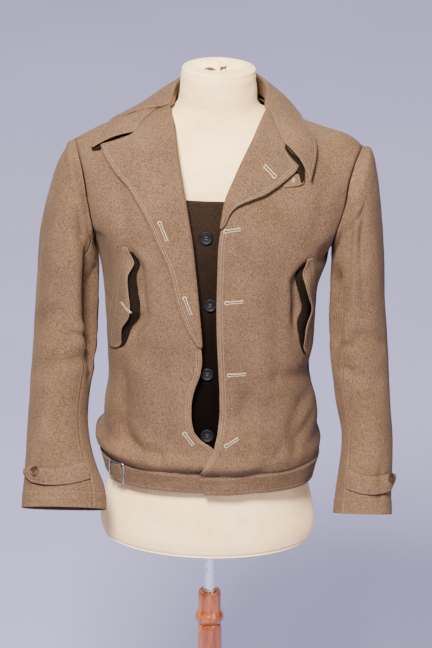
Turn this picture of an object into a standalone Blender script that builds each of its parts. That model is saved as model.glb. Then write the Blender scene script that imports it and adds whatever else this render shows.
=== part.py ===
"""Wool serge military blouson, open at the front, worn on a limbless dress form with its turned stand.

Metres, +Z up, the front faces -Y. The origin is the centre of the base's underside, on the floor.
The form and the garment are laid out upright, then lean a little to the side about the form's foot.
"""
import math

import bmesh
import bpy
import numpy as np
from mathutils import Vector

# driving dimensions
CLOTH = 0.0020
SEAM_GAP = 0.0003
LEAN = math.radians(1.4)
FORM_BASE_Z = 0.730
HEM_Z = 0.845
BAND_TOP_Z = 0.888
BAND_THICK = 0.0030
ARMPIT_Z = 1.235
ROD_RADIUS = 0.0088
ROD_IN_FORM = 0.045
ROD_FOOT_Z = 0.300
ROD_TRAVEL_DOWN = 0.030
POST_TOP_Z = 0.624
FERRULE_RADIUS = 0.0118
FERRULE_SEAT = 0.006
BASE_RADIUS = 0.205
BASE_TOP_Z = 0.034
FRONT_BUTTON_RADIUS = 0.0105
CUFF_BUTTON_RADIUS = 0.0082
SQUARENESS = 2.35
ROOF_FRONT = 0.21
ROOF_BACK = 0.17
ARM_STEP = 15

# the garment's girth: height, half width on -X and +X, depth to the front and to the back
TORSO = [
    (0.840, 0.1660, 0.1640, 0.131, 0.126),
    (0.872, 0.1745, 0.1715, 0.134, 0.128),
    (0.892, 0.1795, 0.1745, 0.1383, 0.132),
    (0.925, 0.1740, 0.1700, 0.139, 0.131),
    (0.960, 0.1745, 0.1675, 0.137, 0.128),
    (0.995, 0.1690, 0.1580, 0.136, 0.124),
    (1.030, 0.1695, 0.1525, 0.137, 0.121),
    (1.070, 0.1715, 0.1570, 0.139, 0.121),
    (1.120, 0.1750, 0.1590, 0.141, 0.123),
    (1.165, 0.1795, 0.1630, 0.142, 0.126),
    (1.200, 0.1850, 0.1740, 0.142, 0.128),
    (1.235, 0.1930, 0.1820, 0.141, 0.129),
    (1.280, 0.2140, 0.2080, 0.139, 0.129),
    (1.320, 0.2260, 0.2230, 0.137, 0.127),
    (1.360, 0.2360, 0.2340, 0.135, 0.125),
    (1.420, 0.2420, 0.2400, 0.132, 0.122),
    (1.520, 0.2420, 0.2400, 0.130, 0.120),
]
# the shoulder line: x, height
SHOULDER = [
    (-0.2400, 1.3900),
    (-0.2265, 1.3965),
    (-0.1900, 1.4165),
    (-0.1570, 1.4300),
    (-0.1000, 1.4500),
    (-0.0780, 1.4590),
    (0.0000, 1.4980),
    (0.0780, 1.4570),
    (0.1200, 1.4380),
    (0.1570, 1.4255),
    (0.2173, 1.4020),
    (0.2240, 1.3960),
    (0.2400, 1.3890),
]
# front edges and roll lines: height, x of the right front, x of the left front
FRONT_EDGE = [
    (0.888, 0.0120, -0.0195),
    (0.901, 0.0110, -0.0143),
    (0.921, 0.0070, -0.0025),
    (0.934, -0.0020, 0.0032),
    (0.944, -0.0185, 0.0050),
    (0.953, -0.0268, 0.0072),
    (0.970, -0.0330, 0.0090),
    (0.993, -0.0351, 0.0106),
    (1.012, -0.0344, 0.0100),
    (1.034, -0.0297, 0.0092),
    (1.054, -0.0232, 0.0076),
    (1.077, -0.0202, 0.0060),
    (1.105, -0.0225, 0.0040),
    (1.160, -0.0287, 0.0016),
    (1.226, -0.0370, 0.0014),
    (1.282, -0.0444, 0.0030),
    (1.316, -0.0506, 0.0090),
    (1.348, -0.0567, 0.0165),
    (1.368, -0.0608, 0.0250),
    (1.399, -0.0672, 0.0395),
    (1.428, -0.0722, 0.0560),
    (1.443, -0.0746, 0.0640),
    (1.460, -0.0775, 0.0765),
]
# the armholes seen from the front: height, x on -X, x on +X
ARMHOLE = [
    (1.235, -0.1930, 0.1820),
    (1.262, -0.1955, 0.1850),
    (1.285, -0.2005, 0.1920),
    (1.312, -0.2060, 0.2000),
    (1.340, -0.2110, 0.2040),
    (1.362, -0.2160, 0.2100),
    (1.382, -0.2215, 0.2170),
    (1.400, -0.2270, 0.2245),
]
# the right front's deep lapel, from its foot to its tip: roll height, edge x, edge z
LAPEL_RIGHT = [
    (1.104, -0.0272, 1.1060),
    (1.135, -0.0443, 1.1350),
    (1.169, -0.0575, 1.1689),
    (1.192, -0.0642, 1.1915),
    (1.229, -0.0726, 1.2267),
    (1.275, -0.0921, 1.2702),
    (1.312, -0.1100, 1.3070),
    (1.337, -0.1232, 1.3275),
    (1.366, -0.1400, 1.3500),
    (1.392, -0.1566, 1.3639),
    (1.415, -0.1765, 1.3860),
    (1.438, -0.1825, 1.3990),
]
LAPEL_RIGHT_TOP = [
    (0.00, -0.0745, 1.4420),
    (0.18, -0.0860, 1.4450),
    (0.34, -0.1030, 1.4400),
    (0.50, -0.1205, 1.4298),
    (0.63, -0.1340, 1.4183),
    (0.80, -0.1560, 1.4085),
    (1.00, -0.1825, 1.3990),
]
# the left front's short lapel: roll height, edge x, edge z
LAPEL_LEFT = [
    (1.300, 0.0115, 1.3080),
    (1.318, 0.0185, 1.3260),
    (1.334, 0.0300, 1.3365),
    (1.350, 0.0490, 1.3435),
    (1.366, 0.0673, 1.3485),
    (1.384, 0.0863, 1.3583),
    (1.402, 0.1029, 1.3686),
    (1.420, 0.1170, 1.3768),
    (1.438, 0.1253, 1.3849),
]
LAPEL_LEFT_TOP = [
    (0.00, 0.0625, 1.4400),
    (0.16, 0.0735, 1.4470),
    (0.30, 0.0797, 1.4406),
    (0.45, 0.0863, 1.4275),
    (0.62, 0.0961, 1.4135),
    (0.80, 0.1073, 1.4006),
    (1.00, 0.1253, 1.3849),
]
# the collar's fall, round the neck from the right notch to the left notch:
# place, inner edge x y z, outer edge x y z
COLLAR = [
    (0.00, -0.1335, -0.0537, 1.4279, -0.1986, -0.0500, 1.3990),
    (0.06, -0.1190, -0.0385, 1.4445, -0.1929, -0.0380, 1.4100),
    (0.13, -0.1010, -0.0250, 1.4570, -0.1825, -0.0220, 1.4220),
    (0.20, -0.0830, -0.0260, 1.4650, -0.1690, -0.0040, 1.4330),
    (0.28, -0.0790, -0.0030, 1.4745, -0.1540, 0.0230, 1.4310),
    (0.36, -0.0700, 0.0360, 1.4860, -0.1220, 0.0530, 1.4280),
    (0.44, -0.0420, 0.0670, 1.4930, -0.0720, 0.0850, 1.4240),
    (0.52, 0.0000, 0.0790, 1.4960, 0.0000, 0.1090, 1.4200),
    (0.60, 0.0420, 0.0670, 1.4950, 0.0660, 0.0850, 1.4260),
    (0.68, 0.0690, 0.0360, 1.4900, 0.1060, 0.0510, 1.4350),
    (0.76, 0.0770, 0.0010, 1.4820, 0.1230, 0.0160, 1.4440),
    (0.84, 0.0730, -0.0300, 1.4660, 0.1340, -0.0260, 1.4370),
    (0.90, 0.0820, -0.0460, 1.4560, 0.1480, -0.0530, 1.4210),
    (0.95, 0.0910, -0.0640, 1.4380, 0.1500, -0.0730, 1.4010),
    (1.00, 0.1010, -0.0760, 1.4220, 0.1420, -0.0985, 1.3680),
]
# the collar's stand: place on the table above, seam x y z at its foot
STAND = [
    (0.20, -0.0718, -0.0340, 1.4560),
    (0.28, -0.0715, -0.0020, 1.4640),
    (0.36, -0.0650, 0.0410, 1.4615),
    (0.44, -0.0380, 0.0690, 1.4600),
    (0.52, 0.0000, 0.0800, 1.4610),
    (0.60, 0.0380, 0.0690, 1.4600),
    (0.68, 0.0650, 0.0410, 1.4610),
    (0.76, 0.0715, -0.0010, 1.4590),
    (0.84, 0.0640, -0.0290, 1.4540),
]
# sleeves: outer x z, inner x z, y of the middle, half depth, lean forward in degrees
SLEEVE_RIGHT = [
    (0.000, -0.2270, 1.4000, -0.1930, 1.2350, 0.000, 0.0620, 0),
    (0.045, -0.2400, 1.3820, -0.1908, 1.2190, -0.001, 0.0665, 0),
    (0.100, -0.2530, 1.3590, -0.1870, 1.2010, -0.002, 0.0695, 1),
    (0.180, -0.2655, 1.3200, -0.1862, 1.1800, -0.003, 0.0710, 2),
    (0.260, -0.2755, 1.2720, -0.1862, 1.1560, -0.004, 0.0710, 3),
    (0.340, -0.2810, 1.2260, -0.1862, 1.1300, -0.004, 0.0700, 4),
    (0.430, -0.2850, 1.1500, -0.1862, 1.0950, -0.005, 0.0670, 7),
    (0.520, -0.2885, 1.0850, -0.1880, 1.0600, -0.012, 0.0640, 11),
    (0.600, -0.2910, 1.0250, -0.1920, 1.0150, -0.026, 0.0610, 16),
    (0.680, -0.2930, 0.9780, -0.1985, 0.9720, -0.044, 0.0580, 21),
    (0.760, -0.2955, 0.9300, -0.1975, 0.9280, -0.066, 0.0540, 26),
    (0.840, -0.2965, 0.8850, -0.1855, 0.8850, -0.090, 0.0480, 28),
    (0.920, -0.2990, 0.8510, -0.1700, 0.8510, -0.109, 0.0410, 28),
    (1.000, -0.3010, 0.8200, -0.1670, 0.8200, -0.127, 0.0350, 28),
]
SLEEVE_LEFT = [
    (0.000, 0.2245, 1.4000, 0.1820, 1.2350, 0.000, 0.0620, 0),
    (0.045, 0.2400, 1.3850, 0.1815, 1.2180, -0.001, 0.0665, 0),
    (0.100, 0.2480, 1.3560, 0.1815, 1.2010, -0.002, 0.0695, 1),
    (0.180, 0.2545, 1.3150, 0.1815, 1.1800, -0.003, 0.0710, 2),
    (0.260, 0.2605, 1.2660, 0.1815, 1.1560, -0.004, 0.0710, 3),
    (0.340, 0.2655, 1.2170, 0.1815, 1.1300, -0.004, 0.0700, 4),
    (0.430, 0.2710, 1.1400, 0.1830, 1.0950, -0.005, 0.0670, 7),
    (0.520, 0.2760, 1.0850, 0.1845, 1.0600, -0.010, 0.0640, 10),
    (0.600, 0.2805, 1.0350, 0.1885, 1.0250, -0.022, 0.0620, 14),
    (0.680, 0.2840, 0.9880, 0.1960, 0.9820, -0.038, 0.0590, 18),
    (0.760, 0.2880, 0.9380, 0.2060, 0.9360, -0.058, 0.0560, 21),
    (0.840, 0.2885, 0.8900, 0.2040, 0.8900, -0.080, 0.0530, 22),
    (0.920, 0.2875, 0.8500, 0.1990, 0.8500, -0.099, 0.0510, 22),
    (1.000, 0.2885, 0.8180, 0.1965, 0.8180, -0.115, 0.0500, 22),
]
# pocket flaps from the top down: seam x z, free edge x z
FLAP_RIGHT = [
    (0.00, -0.1470, 1.2540, -0.1394, 1.2565),
    (0.08, -0.1485, 1.2400, -0.1279, 1.2364),
    (0.16, -0.1510, 1.2250, -0.1290, 1.2243),
    (0.24, -0.1535, 1.2100, -0.1317, 1.2145),
    (0.38, -0.1585, 1.1820, -0.1299, 1.1877),
    (0.54, -0.1640, 1.1500, -0.1268, 1.1581),
    (0.64, -0.1665, 1.1280, -0.1292, 1.1422),
    (0.76, -0.1675, 1.1060, -0.1404, 1.1183),
    (0.90, -0.1660, 1.0800, -0.1471, 1.0857),
    (1.00, -0.1640, 1.0700, -0.1543, 1.0766),
]
FLAP_LEFT = [
    (0.00, 0.1480, 1.2400, 0.1400, 1.2420),
    (0.08, 0.1510, 1.2260, 0.1330, 1.2250),
    (0.16, 0.1530, 1.2120, 0.1317, 1.2110),
    (0.24, 0.1545, 1.1980, 0.1330, 1.2000),
    (0.38, 0.1560, 1.1700, 0.1365, 1.1780),
    (0.54, 0.1555, 1.1420, 0.1395, 1.1500),
    (0.64, 0.1548, 1.1240, 0.1360, 1.1320),
    (0.76, 0.1530, 1.1040, 0.1351, 1.1130),
    (0.90, 0.1510, 1.0780, 0.1390, 1.0830),
    (1.00, 0.1495, 1.0650, 0.1440, 1.0680),
]
# the dress form: height, half width, half depth to the front, to the back
FORM = [
    (0.7300, 0.1500, 0.1000, 0.0960),
    (0.7310, 0.1600, 0.1085, 0.1040),
    (0.7360, 0.1680, 0.1150, 0.1105),
    (0.7480, 0.1735, 0.1190, 0.1145),
    (0.7700, 0.1740, 0.1200, 0.1155),
    (0.8000, 0.1680, 0.1190, 0.1145),
    (0.8450, 0.1570, 0.1165, 0.1110),
    (0.8900, 0.1480, 0.1120, 0.1040),
    (0.9500, 0.1390, 0.1040, 0.0950),
    (1.0200, 0.1330, 0.0980, 0.0880),
    (1.0900, 0.1370, 0.1000, 0.0900),
    (1.1700, 0.1500, 0.1060, 0.0960),
    (1.2500, 0.1620, 0.1100, 0.1020),
    (1.3100, 0.1670, 0.1080, 0.1010),
    (1.3500, 0.1690, 0.1000, 0.0950),
    (1.3820, 0.1670, 0.0880, 0.0880),
    (1.4050, 0.1580, 0.0735, 0.0755),
    (1.4222, 0.1446, 0.0660, 0.0675),
    (1.4344, 0.1230, 0.0628, 0.0644),
    (1.4446, 0.0955, 0.0606, 0.0618),
    (1.4528, 0.0740, 0.0596, 0.0606),
    (1.4610, 0.0650, 0.0590, 0.0600),
    (1.4720, 0.0615, 0.0586, 0.0593),
    (1.4950, 0.0590, 0.0575, 0.0580),
    (1.5130, 0.0572, 0.0560, 0.0565),
    (1.5185, 0.0550, 0.0535, 0.0540),
    (1.5205, 0.0490, 0.0480, 0.0480),
]
FORM_X = -0.004
FORM_SIDES = 36
# cuff tabs: side, sleeve, seam and point in degrees round the sleeve, level there, the button's place
CUFF_TABS = [
    ("right", SLEEVE_RIGHT, (-42, 66), (0.872, 0.878), 41),
    ("left", SLEEVE_LEFT, (-42, 74), (0.885, 0.878), 52),
]
THROAT_TAB_X = 0.100
THROAT_TAB_Z = 1.3655
THROAT_TAB_LENGTH = 0.030
THROAT_TAB_HALF = 0.0078
FLAP_TOP_Z = 1.339
FLAP_FOOT_Z = BAND_TOP_Z + (ARMPIT_Z - BAND_TOP_Z) / 11
FLAP_BEHIND = 0.0014
BAND_MIDDLE_Z = 0.870
BAND_LIFT = 0.001
BAND_RIGHT_END_X = 0.012
BAND_LEFT_END_X = -0.0150
BAND_END_SLANT = 0.0045
HEM_RISE = 0.009
STRAP_END_X = -0.1414
STRAP_LOW_Z = 0.8505
STRAP_TOP_Z = 0.8845
STRAP_BACK_TURN = 1.15
TAB_HALF = 0.026
TAB_SAG = 0.022
TAB_STAND = 0.003
BUTTON_PLACES = [(-0.0182, 1.2798), (-0.0094, 1.1692), (-0.0113, 1.0507), (-0.0087, 0.9480)]

# large folds of the body: from x z, to x z, height (a trough is below nought), half its width
FRONT_FOLDS = [
    (-0.1860, 1.2550, -0.1690, 1.1500, -0.0050, 0.012),
    (-0.1180, 1.0500, -0.1050, 0.9200, 0.0030, 0.014),
    (-0.1450, 1.0300, -0.1380, 0.9250, -0.0030, 0.012),
    (0.1530, 1.0300, 0.1050, 1.0450, -0.0035, 0.014),
    (0.0950, 1.0150, 0.1150, 0.9200, 0.0028, 0.014),
    (0.1700, 1.2450, 0.1640, 1.1500, -0.0040, 0.011),
]
BACK_FOLDS = [
    (-0.1500, 1.2400, -0.1150, 1.0000, -0.0045, 0.014),
    (0.1450, 1.2500, 0.1050, 0.9900, -0.0040, 0.015),
    (-0.0600, 1.0600, -0.0550, 0.9150, 0.0035, 0.016),
    (0.0500, 1.1000, 0.0620, 0.9200, -0.0032, 0.015),
]
# folds of a sleeve: from degrees and share of the way down, to the same, height, half width in metres
SLEEVE_FOLDS_RIGHT = [
    (-12, 0.070, -30, 0.420, -0.0060, 0.013),
    (10, 0.440, 60, 0.500, -0.0035, 0.014),
    (-25, 0.560, 40, 0.600, -0.0035, 0.015),
    (150, 0.420, 200, 0.560, -0.0040, 0.015),
    (110, 0.640, 190, 0.600, 0.0030, 0.015),
    (20, 0.660, 30, 0.790, 0.0025, 0.014),
]
SLEEVE_FOLDS_LEFT = [
    (-15, 0.080, -28, 0.380, -0.0055, 0.013),
    (20, 0.100, 5, 0.240, -0.0030, 0.014),
    (0, 0.480, 55, 0.530, -0.0035, 0.014),
    (-25, 0.600, 30, 0.640, -0.0035, 0.015),
    (150, 0.400, 205, 0.540, -0.0040, 0.015),
    (120, 0.620, 200, 0.660, 0.0030, 0.015),
]
SLEEVES = [
    ("right", SLEEVE_RIGHT, SLEEVE_FOLDS_RIGHT, -1),
    ("left", SLEEVE_LEFT, SLEEVE_FOLDS_LEFT, 1),
]
SLEEVE_RADIUS = 0.055
SLEEVE_LENGTH = 0.600
UNDER_SEAM = math.radians(285)

FINISHES = {
    "serge": ((0.185, 0.115, 0.068), 0.95, 0.0),
    "canvas": ((0.720, 0.650, 0.500), 0.85, 0.0),
    "wood": ((0.290, 0.075, 0.028), 0.35, 0.0),
    "steel": ((0.700, 0.700, 0.690), 0.25, 1.0),
    "dark_plastic": ((0.012, 0.013, 0.018), 0.35, 0.0),
    "brown_plastic": ((0.045, 0.022, 0.012), 0.40, 0.0),
}


def clearScene():
    for old in list(bpy.data.objects):
        bpy.data.objects.remove(old, do_unlink=True)


def newCollection(name):
    made = bpy.data.collections.new(name)
    bpy.context.scene.collection.children.link(made)
    return made


clearScene()
partsCollection = newCollection("blouson_on_form")
cutterCollection = newCollection("cutters")
cutterCollection.hide_render = True


def giveFinish(obj, kind):
    colour, rough, metal = FINISHES[kind]
    mat = bpy.data.materials.new(obj.name)
    mat.use_nodes = True
    shader = mat.node_tree.nodes["Principled BSDF"]
    shader.inputs["Base Color"].default_value = (*colour, 1.0)
    shader.inputs["Roughness"].default_value = rough
    shader.inputs["Metallic"].default_value = metal
    obj.data.materials.append(mat)


def newObject(name, mesh, kind):
    obj = bpy.data.objects.new(name, mesh)
    partsCollection.objects.link(obj)
    giveFinish(obj, kind)
    return obj


# ways to read a table and to measure the body
def track(table, column, at):
    """One column of a table as a smooth curve through its rows."""
    keys = np.array([row[0] for row in table], float)
    values = np.array([row[column] for row in table], float)
    at = np.clip(at, keys[0], keys[-1])
    i = np.clip(np.searchsorted(keys, at, side="right") - 1, 0, len(keys) - 2)
    step = np.diff(keys)
    slope = np.diff(values) / step
    turn = np.empty_like(values)
    turn[0] = slope[0]
    turn[-1] = slope[-1]
    turn[1:-1] = (slope[:-1] * step[1:] + slope[1:] * step[:-1]) / (step[:-1] + step[1:])
    h = step[i]
    u = (at - keys[i]) / h
    start = values[i] * (1 + 2 * u) * (1 - u) ** 2 + turn[i] * h * u * (1 - u) ** 2
    end = values[i + 1] * u * u * (3 - 2 * u) + turn[i + 1] * h * u * u * (u - 1)
    return start + end


def stack(x, y, z):
    x, y, z = np.broadcast_arrays(x, y, z)
    return np.stack([x, y, z], axis=-1)


def unit(vectors):
    return vectors / np.maximum(np.linalg.norm(vectors, axis=-1, keepdims=True), 1e-12)


def halfWidth(x, z):
    return np.where(x < 0, track(TORSO, 1, z), track(TORSO, 2, z))


def bodyY(x, z, back=False):
    """The garment's outer face at a place seen from the front, or from the back."""
    side = np.clip(1 - np.clip(np.abs(x) / halfWidth(x, z), 0, 1) ** SQUARENESS, 0, 1)
    drop = (track(SHOULDER, 1, x) - z) / (ROOF_BACK if back else ROOF_FRONT)
    roof = np.sqrt(1 - (1 - np.clip(drop, 0, 1)) ** 2)
    depth = track(TORSO, 4 if back else 3, z) * side ** (1 / SQUARENESS) * roof
    return depth if back else -depth


def bodyNormal(x, z, back=False):
    """The outward direction there, kept level where the sides and the shoulder turn over."""
    d = 0.0004
    inward = np.where(x < 0, 1.0, -1.0)
    alongX = (bodyY(x + inward * d, z, back) - bodyY(x, z, back)) / (inward * d)
    alongZ = (bodyY(x, z, back) - bodyY(x, z - d, back)) / d
    if back:
        return unit(stack(-alongX, 1.0, -alongZ))
    return unit(stack(alongX, -1.0, alongZ))


def bodyPoint(x, z, lift=0.0, back=False):
    gap = SEAM_GAP / 2 if back else -SEAM_GAP / 2
    return stack(x, bodyY(x, z, back) + gap, z) + bodyNormal(x, z, back) * np.asarray(lift)[..., None]


def foldHeight(folds, across, down):
    """The folds' height at a place: along each one's line a bell across and soft ends."""
    height = 0.0
    for x0, z0, x1, z1, rise, width in folds:
        length = math.hypot(x1 - x0, z1 - z0)
        alongX, alongZ = (x1 - x0) / length, (z1 - z0) / length
        run = (across - x0) * alongX + (down - z0) * alongZ
        aside = (across - x0) * alongZ - (down - z0) * alongX
        past = np.maximum(np.maximum(-run, run - length), 0)
        height = height + rise * np.exp(-(aside / width) ** 2 - (past / width) ** 2)
    return height


def sleeveFold(folds, angle, at):
    """A sleeve's folds, measured on its cloth unrolled round the arm and down it, over both seams."""
    angle = np.where(angle > UNDER_SEAM, angle - 2 * math.pi, angle)
    flat = [(math.radians(a0) * SLEEVE_RADIUS, s0 * SLEEVE_LENGTH, math.radians(a1) * SLEEVE_RADIUS,
             s1 * SLEEVE_LENGTH, rise, width) for a0, s0, a1, s1, rise, width in folds]
    return foldHeight(flat, angle * SLEEVE_RADIUS, at * SLEEVE_LENGTH)


def lean(points):
    """Everything the form carries leans to +X about the centre of the form's foot."""
    x, y, z = points[..., 0], points[..., 1], points[..., 2] - FORM_BASE_Z
    c, s = math.cos(LEAN), math.sin(LEAN)
    return stack(x * c + z * s, y, z * c - x * s + FORM_BASE_Z)


# ways to make a mesh
def surfaceNormals(grid):
    return unit(np.cross(np.gradient(grid, axis=1), np.gradient(grid, axis=0)))


def wall(name, face, inner, kind="serge"):
    """A cloth wall between its outer and its inner side, both grids of the same size."""
    rows, cols = face.shape[:2]
    points = lean(np.concatenate([face.reshape(-1, 3), inner.reshape(-1, 3)]))
    number = np.arange(rows * cols).reshape(rows, cols)
    inside = number + rows * cols
    faces = []
    for r in range(rows - 1):
        for c in range(cols - 1):
            faces.append((number[r, c], number[r, c + 1], number[r + 1, c + 1], number[r + 1, c]))
            faces.append((inside[r, c], inside[r + 1, c], inside[r + 1, c + 1], inside[r, c + 1]))
    rim = list(number[0, :]) + list(number[1:, -1]) + list(number[-1, -2::-1]) + list(number[-2:0:-1, 0])
    behind = rows * cols
    for a, b in zip(rim, rim[1:] + rim[:1]):
        faces.append((b, a, a + behind, b + behind) if a < b else (a, a + behind, b + behind, b))
    mesh = bpy.data.meshes.new(name)
    mesh.from_pydata(points.tolist(), [], [tuple(int(v) for v in f) for f in faces])
    faceOutward(mesh)
    return newObject(name, mesh, kind)


def sheet(name, face, normals, thick=CLOTH, kind="serge"):
    return wall(name, face, face - normals * thick, kind)


def faceOutward(mesh):
    work = bmesh.new()
    work.from_mesh(mesh)
    bmesh.ops.recalc_face_normals(work, faces=work.faces)
    if work.calc_volume(signed=True) < 0:
        bmesh.ops.reverse_faces(work, faces=work.faces)
    work.to_mesh(mesh)
    work.free()
    mesh.shade_smooth()
    mesh.set_sharp_from_angle(angle=math.radians(50))


def turned(name, profile, kind, steps=32):
    """A round piece from its profile of radius and height, listed from the top down."""
    mesh = bpy.data.meshes.new(name)
    closed = profile[0] == profile[-1]
    points = profile[:-1] if closed else profile
    edges = [(i, (i + 1) % len(points)) for i in range(len(profile) - 1)]
    mesh.from_pydata([(r, 0.0, z) for r, z in points], edges, [])
    obj = newObject(name, mesh, kind)
    screw = obj.modifiers.new("turn", "SCREW")
    screw.steps = steps
    screw.render_steps = steps
    screw.use_merge_vertices = True
    screw.merge_threshold = 0.00005
    screw.use_smooth_shade = True
    return obj


def cutter(name, radius, depth, place, sides=12):
    bpy.ops.mesh.primitive_cylinder_add(vertices=sides, radius=radius, depth=depth, location=place)
    obj = bpy.context.object
    obj.name = name
    for holder in list(obj.users_collection):
        holder.objects.unlink(obj)
    cutterCollection.objects.link(obj)
    obj.hide_render = True
    obj.display_type = "WIRE"
    return obj


def cutWith(obj, tool):
    cut = obj.modifiers.new("cut", "BOOLEAN")
    cut.operation = "DIFFERENCE"
    cut.object = tool


# the stand
def makeBase():
    r = BASE_RADIUS
    top = BASE_TOP_Z
    turned("base", [
        (0.0, top), (0.062, top), (0.066, top - 0.002), (r * 0.72, top - 0.006), (r * 0.82, top - 0.010),
        (r * 0.86, top - 0.016), (r * 0.94, top - 0.016), (r * 0.985, top - 0.020), (r, top - 0.027),
        (r * 0.985, 0.002), (r * 0.975, 0.0), (0.0, 0.0),
    ], "wood", 36)


def makePost():
    bore = ROD_RADIUS + SEAM_GAP
    seat = FERRULE_RADIUS
    top = POST_TOP_Z
    foot = BASE_TOP_Z + SEAM_GAP
    end = ROD_FOOT_Z - ROD_TRAVEL_DOWN - 0.004
    turned("post", [
        (0.0, end), (bore, end), (bore, top - FERRULE_SEAT), (seat, top - FERRULE_SEAT), (seat, top),
        (0.0176, top), (0.0188, top - 0.003), (0.0188, top - 0.032), (0.0200, top - 0.036),
        (0.0232, top - 0.042), (0.0236, top - 0.048), (0.0205, top - 0.054),
        (0.0172, top - 0.057), (0.0188, top - 0.061), (0.0200, top - 0.070),
        (0.0212, 0.420), (0.0228, 0.300), (0.0222, 0.200), (0.0196, 0.130), (0.0180, 0.112),
        (0.0240, 0.104), (0.0258, 0.098), (0.0240, 0.092), (0.0200, 0.086), (0.0260, 0.070),
        (0.0440, 0.052), (0.0540, 0.044), (0.0560, foot + 0.003), (0.0550, foot), (0.0, foot),
    ], "wood", 24)


def makeFerrule():
    inner = ROD_RADIUS + SEAM_GAP
    outer = FERRULE_RADIUS - SEAM_GAP
    foot = POST_TOP_Z - FERRULE_SEAT + SEAM_GAP
    turned("ferrule", [
        (inner, POST_TOP_Z + 0.004), (outer - 0.001, POST_TOP_Z + 0.004), (outer, POST_TOP_Z + 0.003),
        (outer, foot), (inner, foot), (inner, POST_TOP_Z + 0.004),
    ], "steel", 32)


def makeRod():
    top = FORM_BASE_Z + ROD_IN_FORM
    turned("rod", [
        (0.0, top), (ROD_RADIUS, top), (ROD_RADIUS, ROD_FOOT_Z), (0.0, ROD_FOOT_Z),
    ], "steel", 32)


# the dress form
def formRing(z, angle):
    depth = np.where(np.cos(angle) > 0, track(FORM, 2, z), track(FORM, 3, z))
    x = FORM_X + track(FORM, 1, z) * np.sin(angle)
    return stack(x, -depth * np.cos(angle), z)


def makeForm():
    around = np.linspace(0, 2 * math.pi, FORM_SIDES, endpoint=False)
    heights = [row[0] for row in FORM]
    rings = [formRing(np.full(FORM_SIDES, z), around) for z in heights]
    points = lean(np.array(rings)).reshape(-1, 3)
    faces = []
    for r in range(len(heights) - 1):
        low, high = r * FORM_SIDES, (r + 1) * FORM_SIDES
        for c in range(FORM_SIDES):
            n = (c + 1) % FORM_SIDES
            faces.append((low + c, low + n, high + n, high + c))
    faces.append(tuple(range(FORM_SIDES - 1, -1, -1)))
    faces.append(tuple(range((len(heights) - 1) * FORM_SIDES, len(heights) * FORM_SIDES)))
    mesh = bpy.data.meshes.new("dress_form")
    mesh.from_pydata(points.tolist(), [], faces)
    faceOutward(mesh)
    form = newObject("dress_form", mesh, "canvas")
    hole = cutter("rod_hole", ROD_RADIUS + SEAM_GAP, 2 * (ROD_IN_FORM + SEAM_GAP), (0, 0, FORM_BASE_Z), 32)
    cutWith(form, hole)


# the body of the garment
def levelRows():
    """Shares of the way up: even below the armpit, bunched like the armhole's own arc above it."""
    low = np.linspace(0, 1, 12)
    arc = np.radians(np.arange(-90 + ARM_STEP, 91, ARM_STEP))
    return np.concatenate([low, 1 + (1 + np.sin(arc)) / 2])


def levelHeight(share, top):
    below = BAND_TOP_Z + (ARMPIT_Z - BAND_TOP_Z) * np.minimum(share, 1)
    return below + (top - ARMPIT_Z) * np.maximum(share - 1, 0)


def sideX(share, sign):
    """The panel's outer edge: the side seam, then the armhole."""
    column = 1 if sign < 0 else 2
    z = levelHeight(share, ARMHOLE[-1][0])
    x = np.where(share > 1, track(ARMHOLE, column, z), sign * track(TORSO, column, z))
    return x, np.where(share > 1, levelHeight(share, track(SHOULDER, 1, x)), z)


def angleOf(x, z):
    return np.arcsin(np.clip(np.abs(x) / halfWidth(x, z), 0, 1) ** (SQUARENESS / 2))


def frontGrid(sign, cols=9):
    column = 1 if sign < 0 else 2
    share = levelRows()[:, None]
    topX = track(FRONT_EDGE, column, FRONT_EDGE[-1][0])
    z0 = levelHeight(share, track(SHOULDER, 1, topX))
    x0 = track(FRONT_EDGE, column, z0)
    x1, z1 = sideX(share, sign)
    across = np.linspace(0, 1, cols)[None, :]
    turn0 = np.sign(x0) * sign * angleOf(x0, z0)
    turn1 = angleOf(x1, z1)
    turn = turn0 + (turn1 - turn0) * across
    z = z0 + (z1 - z0) * across
    for _ in range(4):
        x = sign * np.sign(turn) * halfWidth(sign * turn, z) * np.abs(np.sin(turn)) ** (2 / SQUARENESS)
        x[:, 0] = x0[:, 0]
        x[:, -1] = x1[:, 0]
        wide = np.maximum(sign * x, sign * topX) * sign
        z = np.where(share > 1, levelHeight(share, track(SHOULDER, 1, wide)), z)
        z[:, -1] = z1[:, 0]
    return x, z


def overlapLift(x, z):
    """The left front rides over the right one near the waistband."""
    low = np.clip((0.985 - z) / 0.05, 0, 1)
    near = np.clip((0.075 - x) / 0.055, 0, 1)
    return 0.0065 * low * low * (3 - 2 * low) * near * near * (3 - 2 * near)


def bodyPanel(name, x, z, lift=0.0, back=False):
    """A body panel, whose inner side never crosses the plane of the side and shoulder seams."""
    lift = lift + foldHeight(BACK_FOLDS if back else FRONT_FOLDS, x, z)
    face = bodyPoint(x, z, lift, back)
    inner = face - bodyNormal(x, z, back) * CLOTH
    if back:
        inner[..., 1] = np.maximum(inner[..., 1], SEAM_GAP / 2)
    else:
        inner[..., 1] = np.minimum(inner[..., 1], -SEAM_GAP / 2)
    return wall(name, face, inner)


def makeFronts():
    x, z = frontGrid(-1)
    bodyPanel("front_right", x, z)
    x, z = frontGrid(1)
    bodyPanel("front_left", x, z, overlapLift(x, z))


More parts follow.
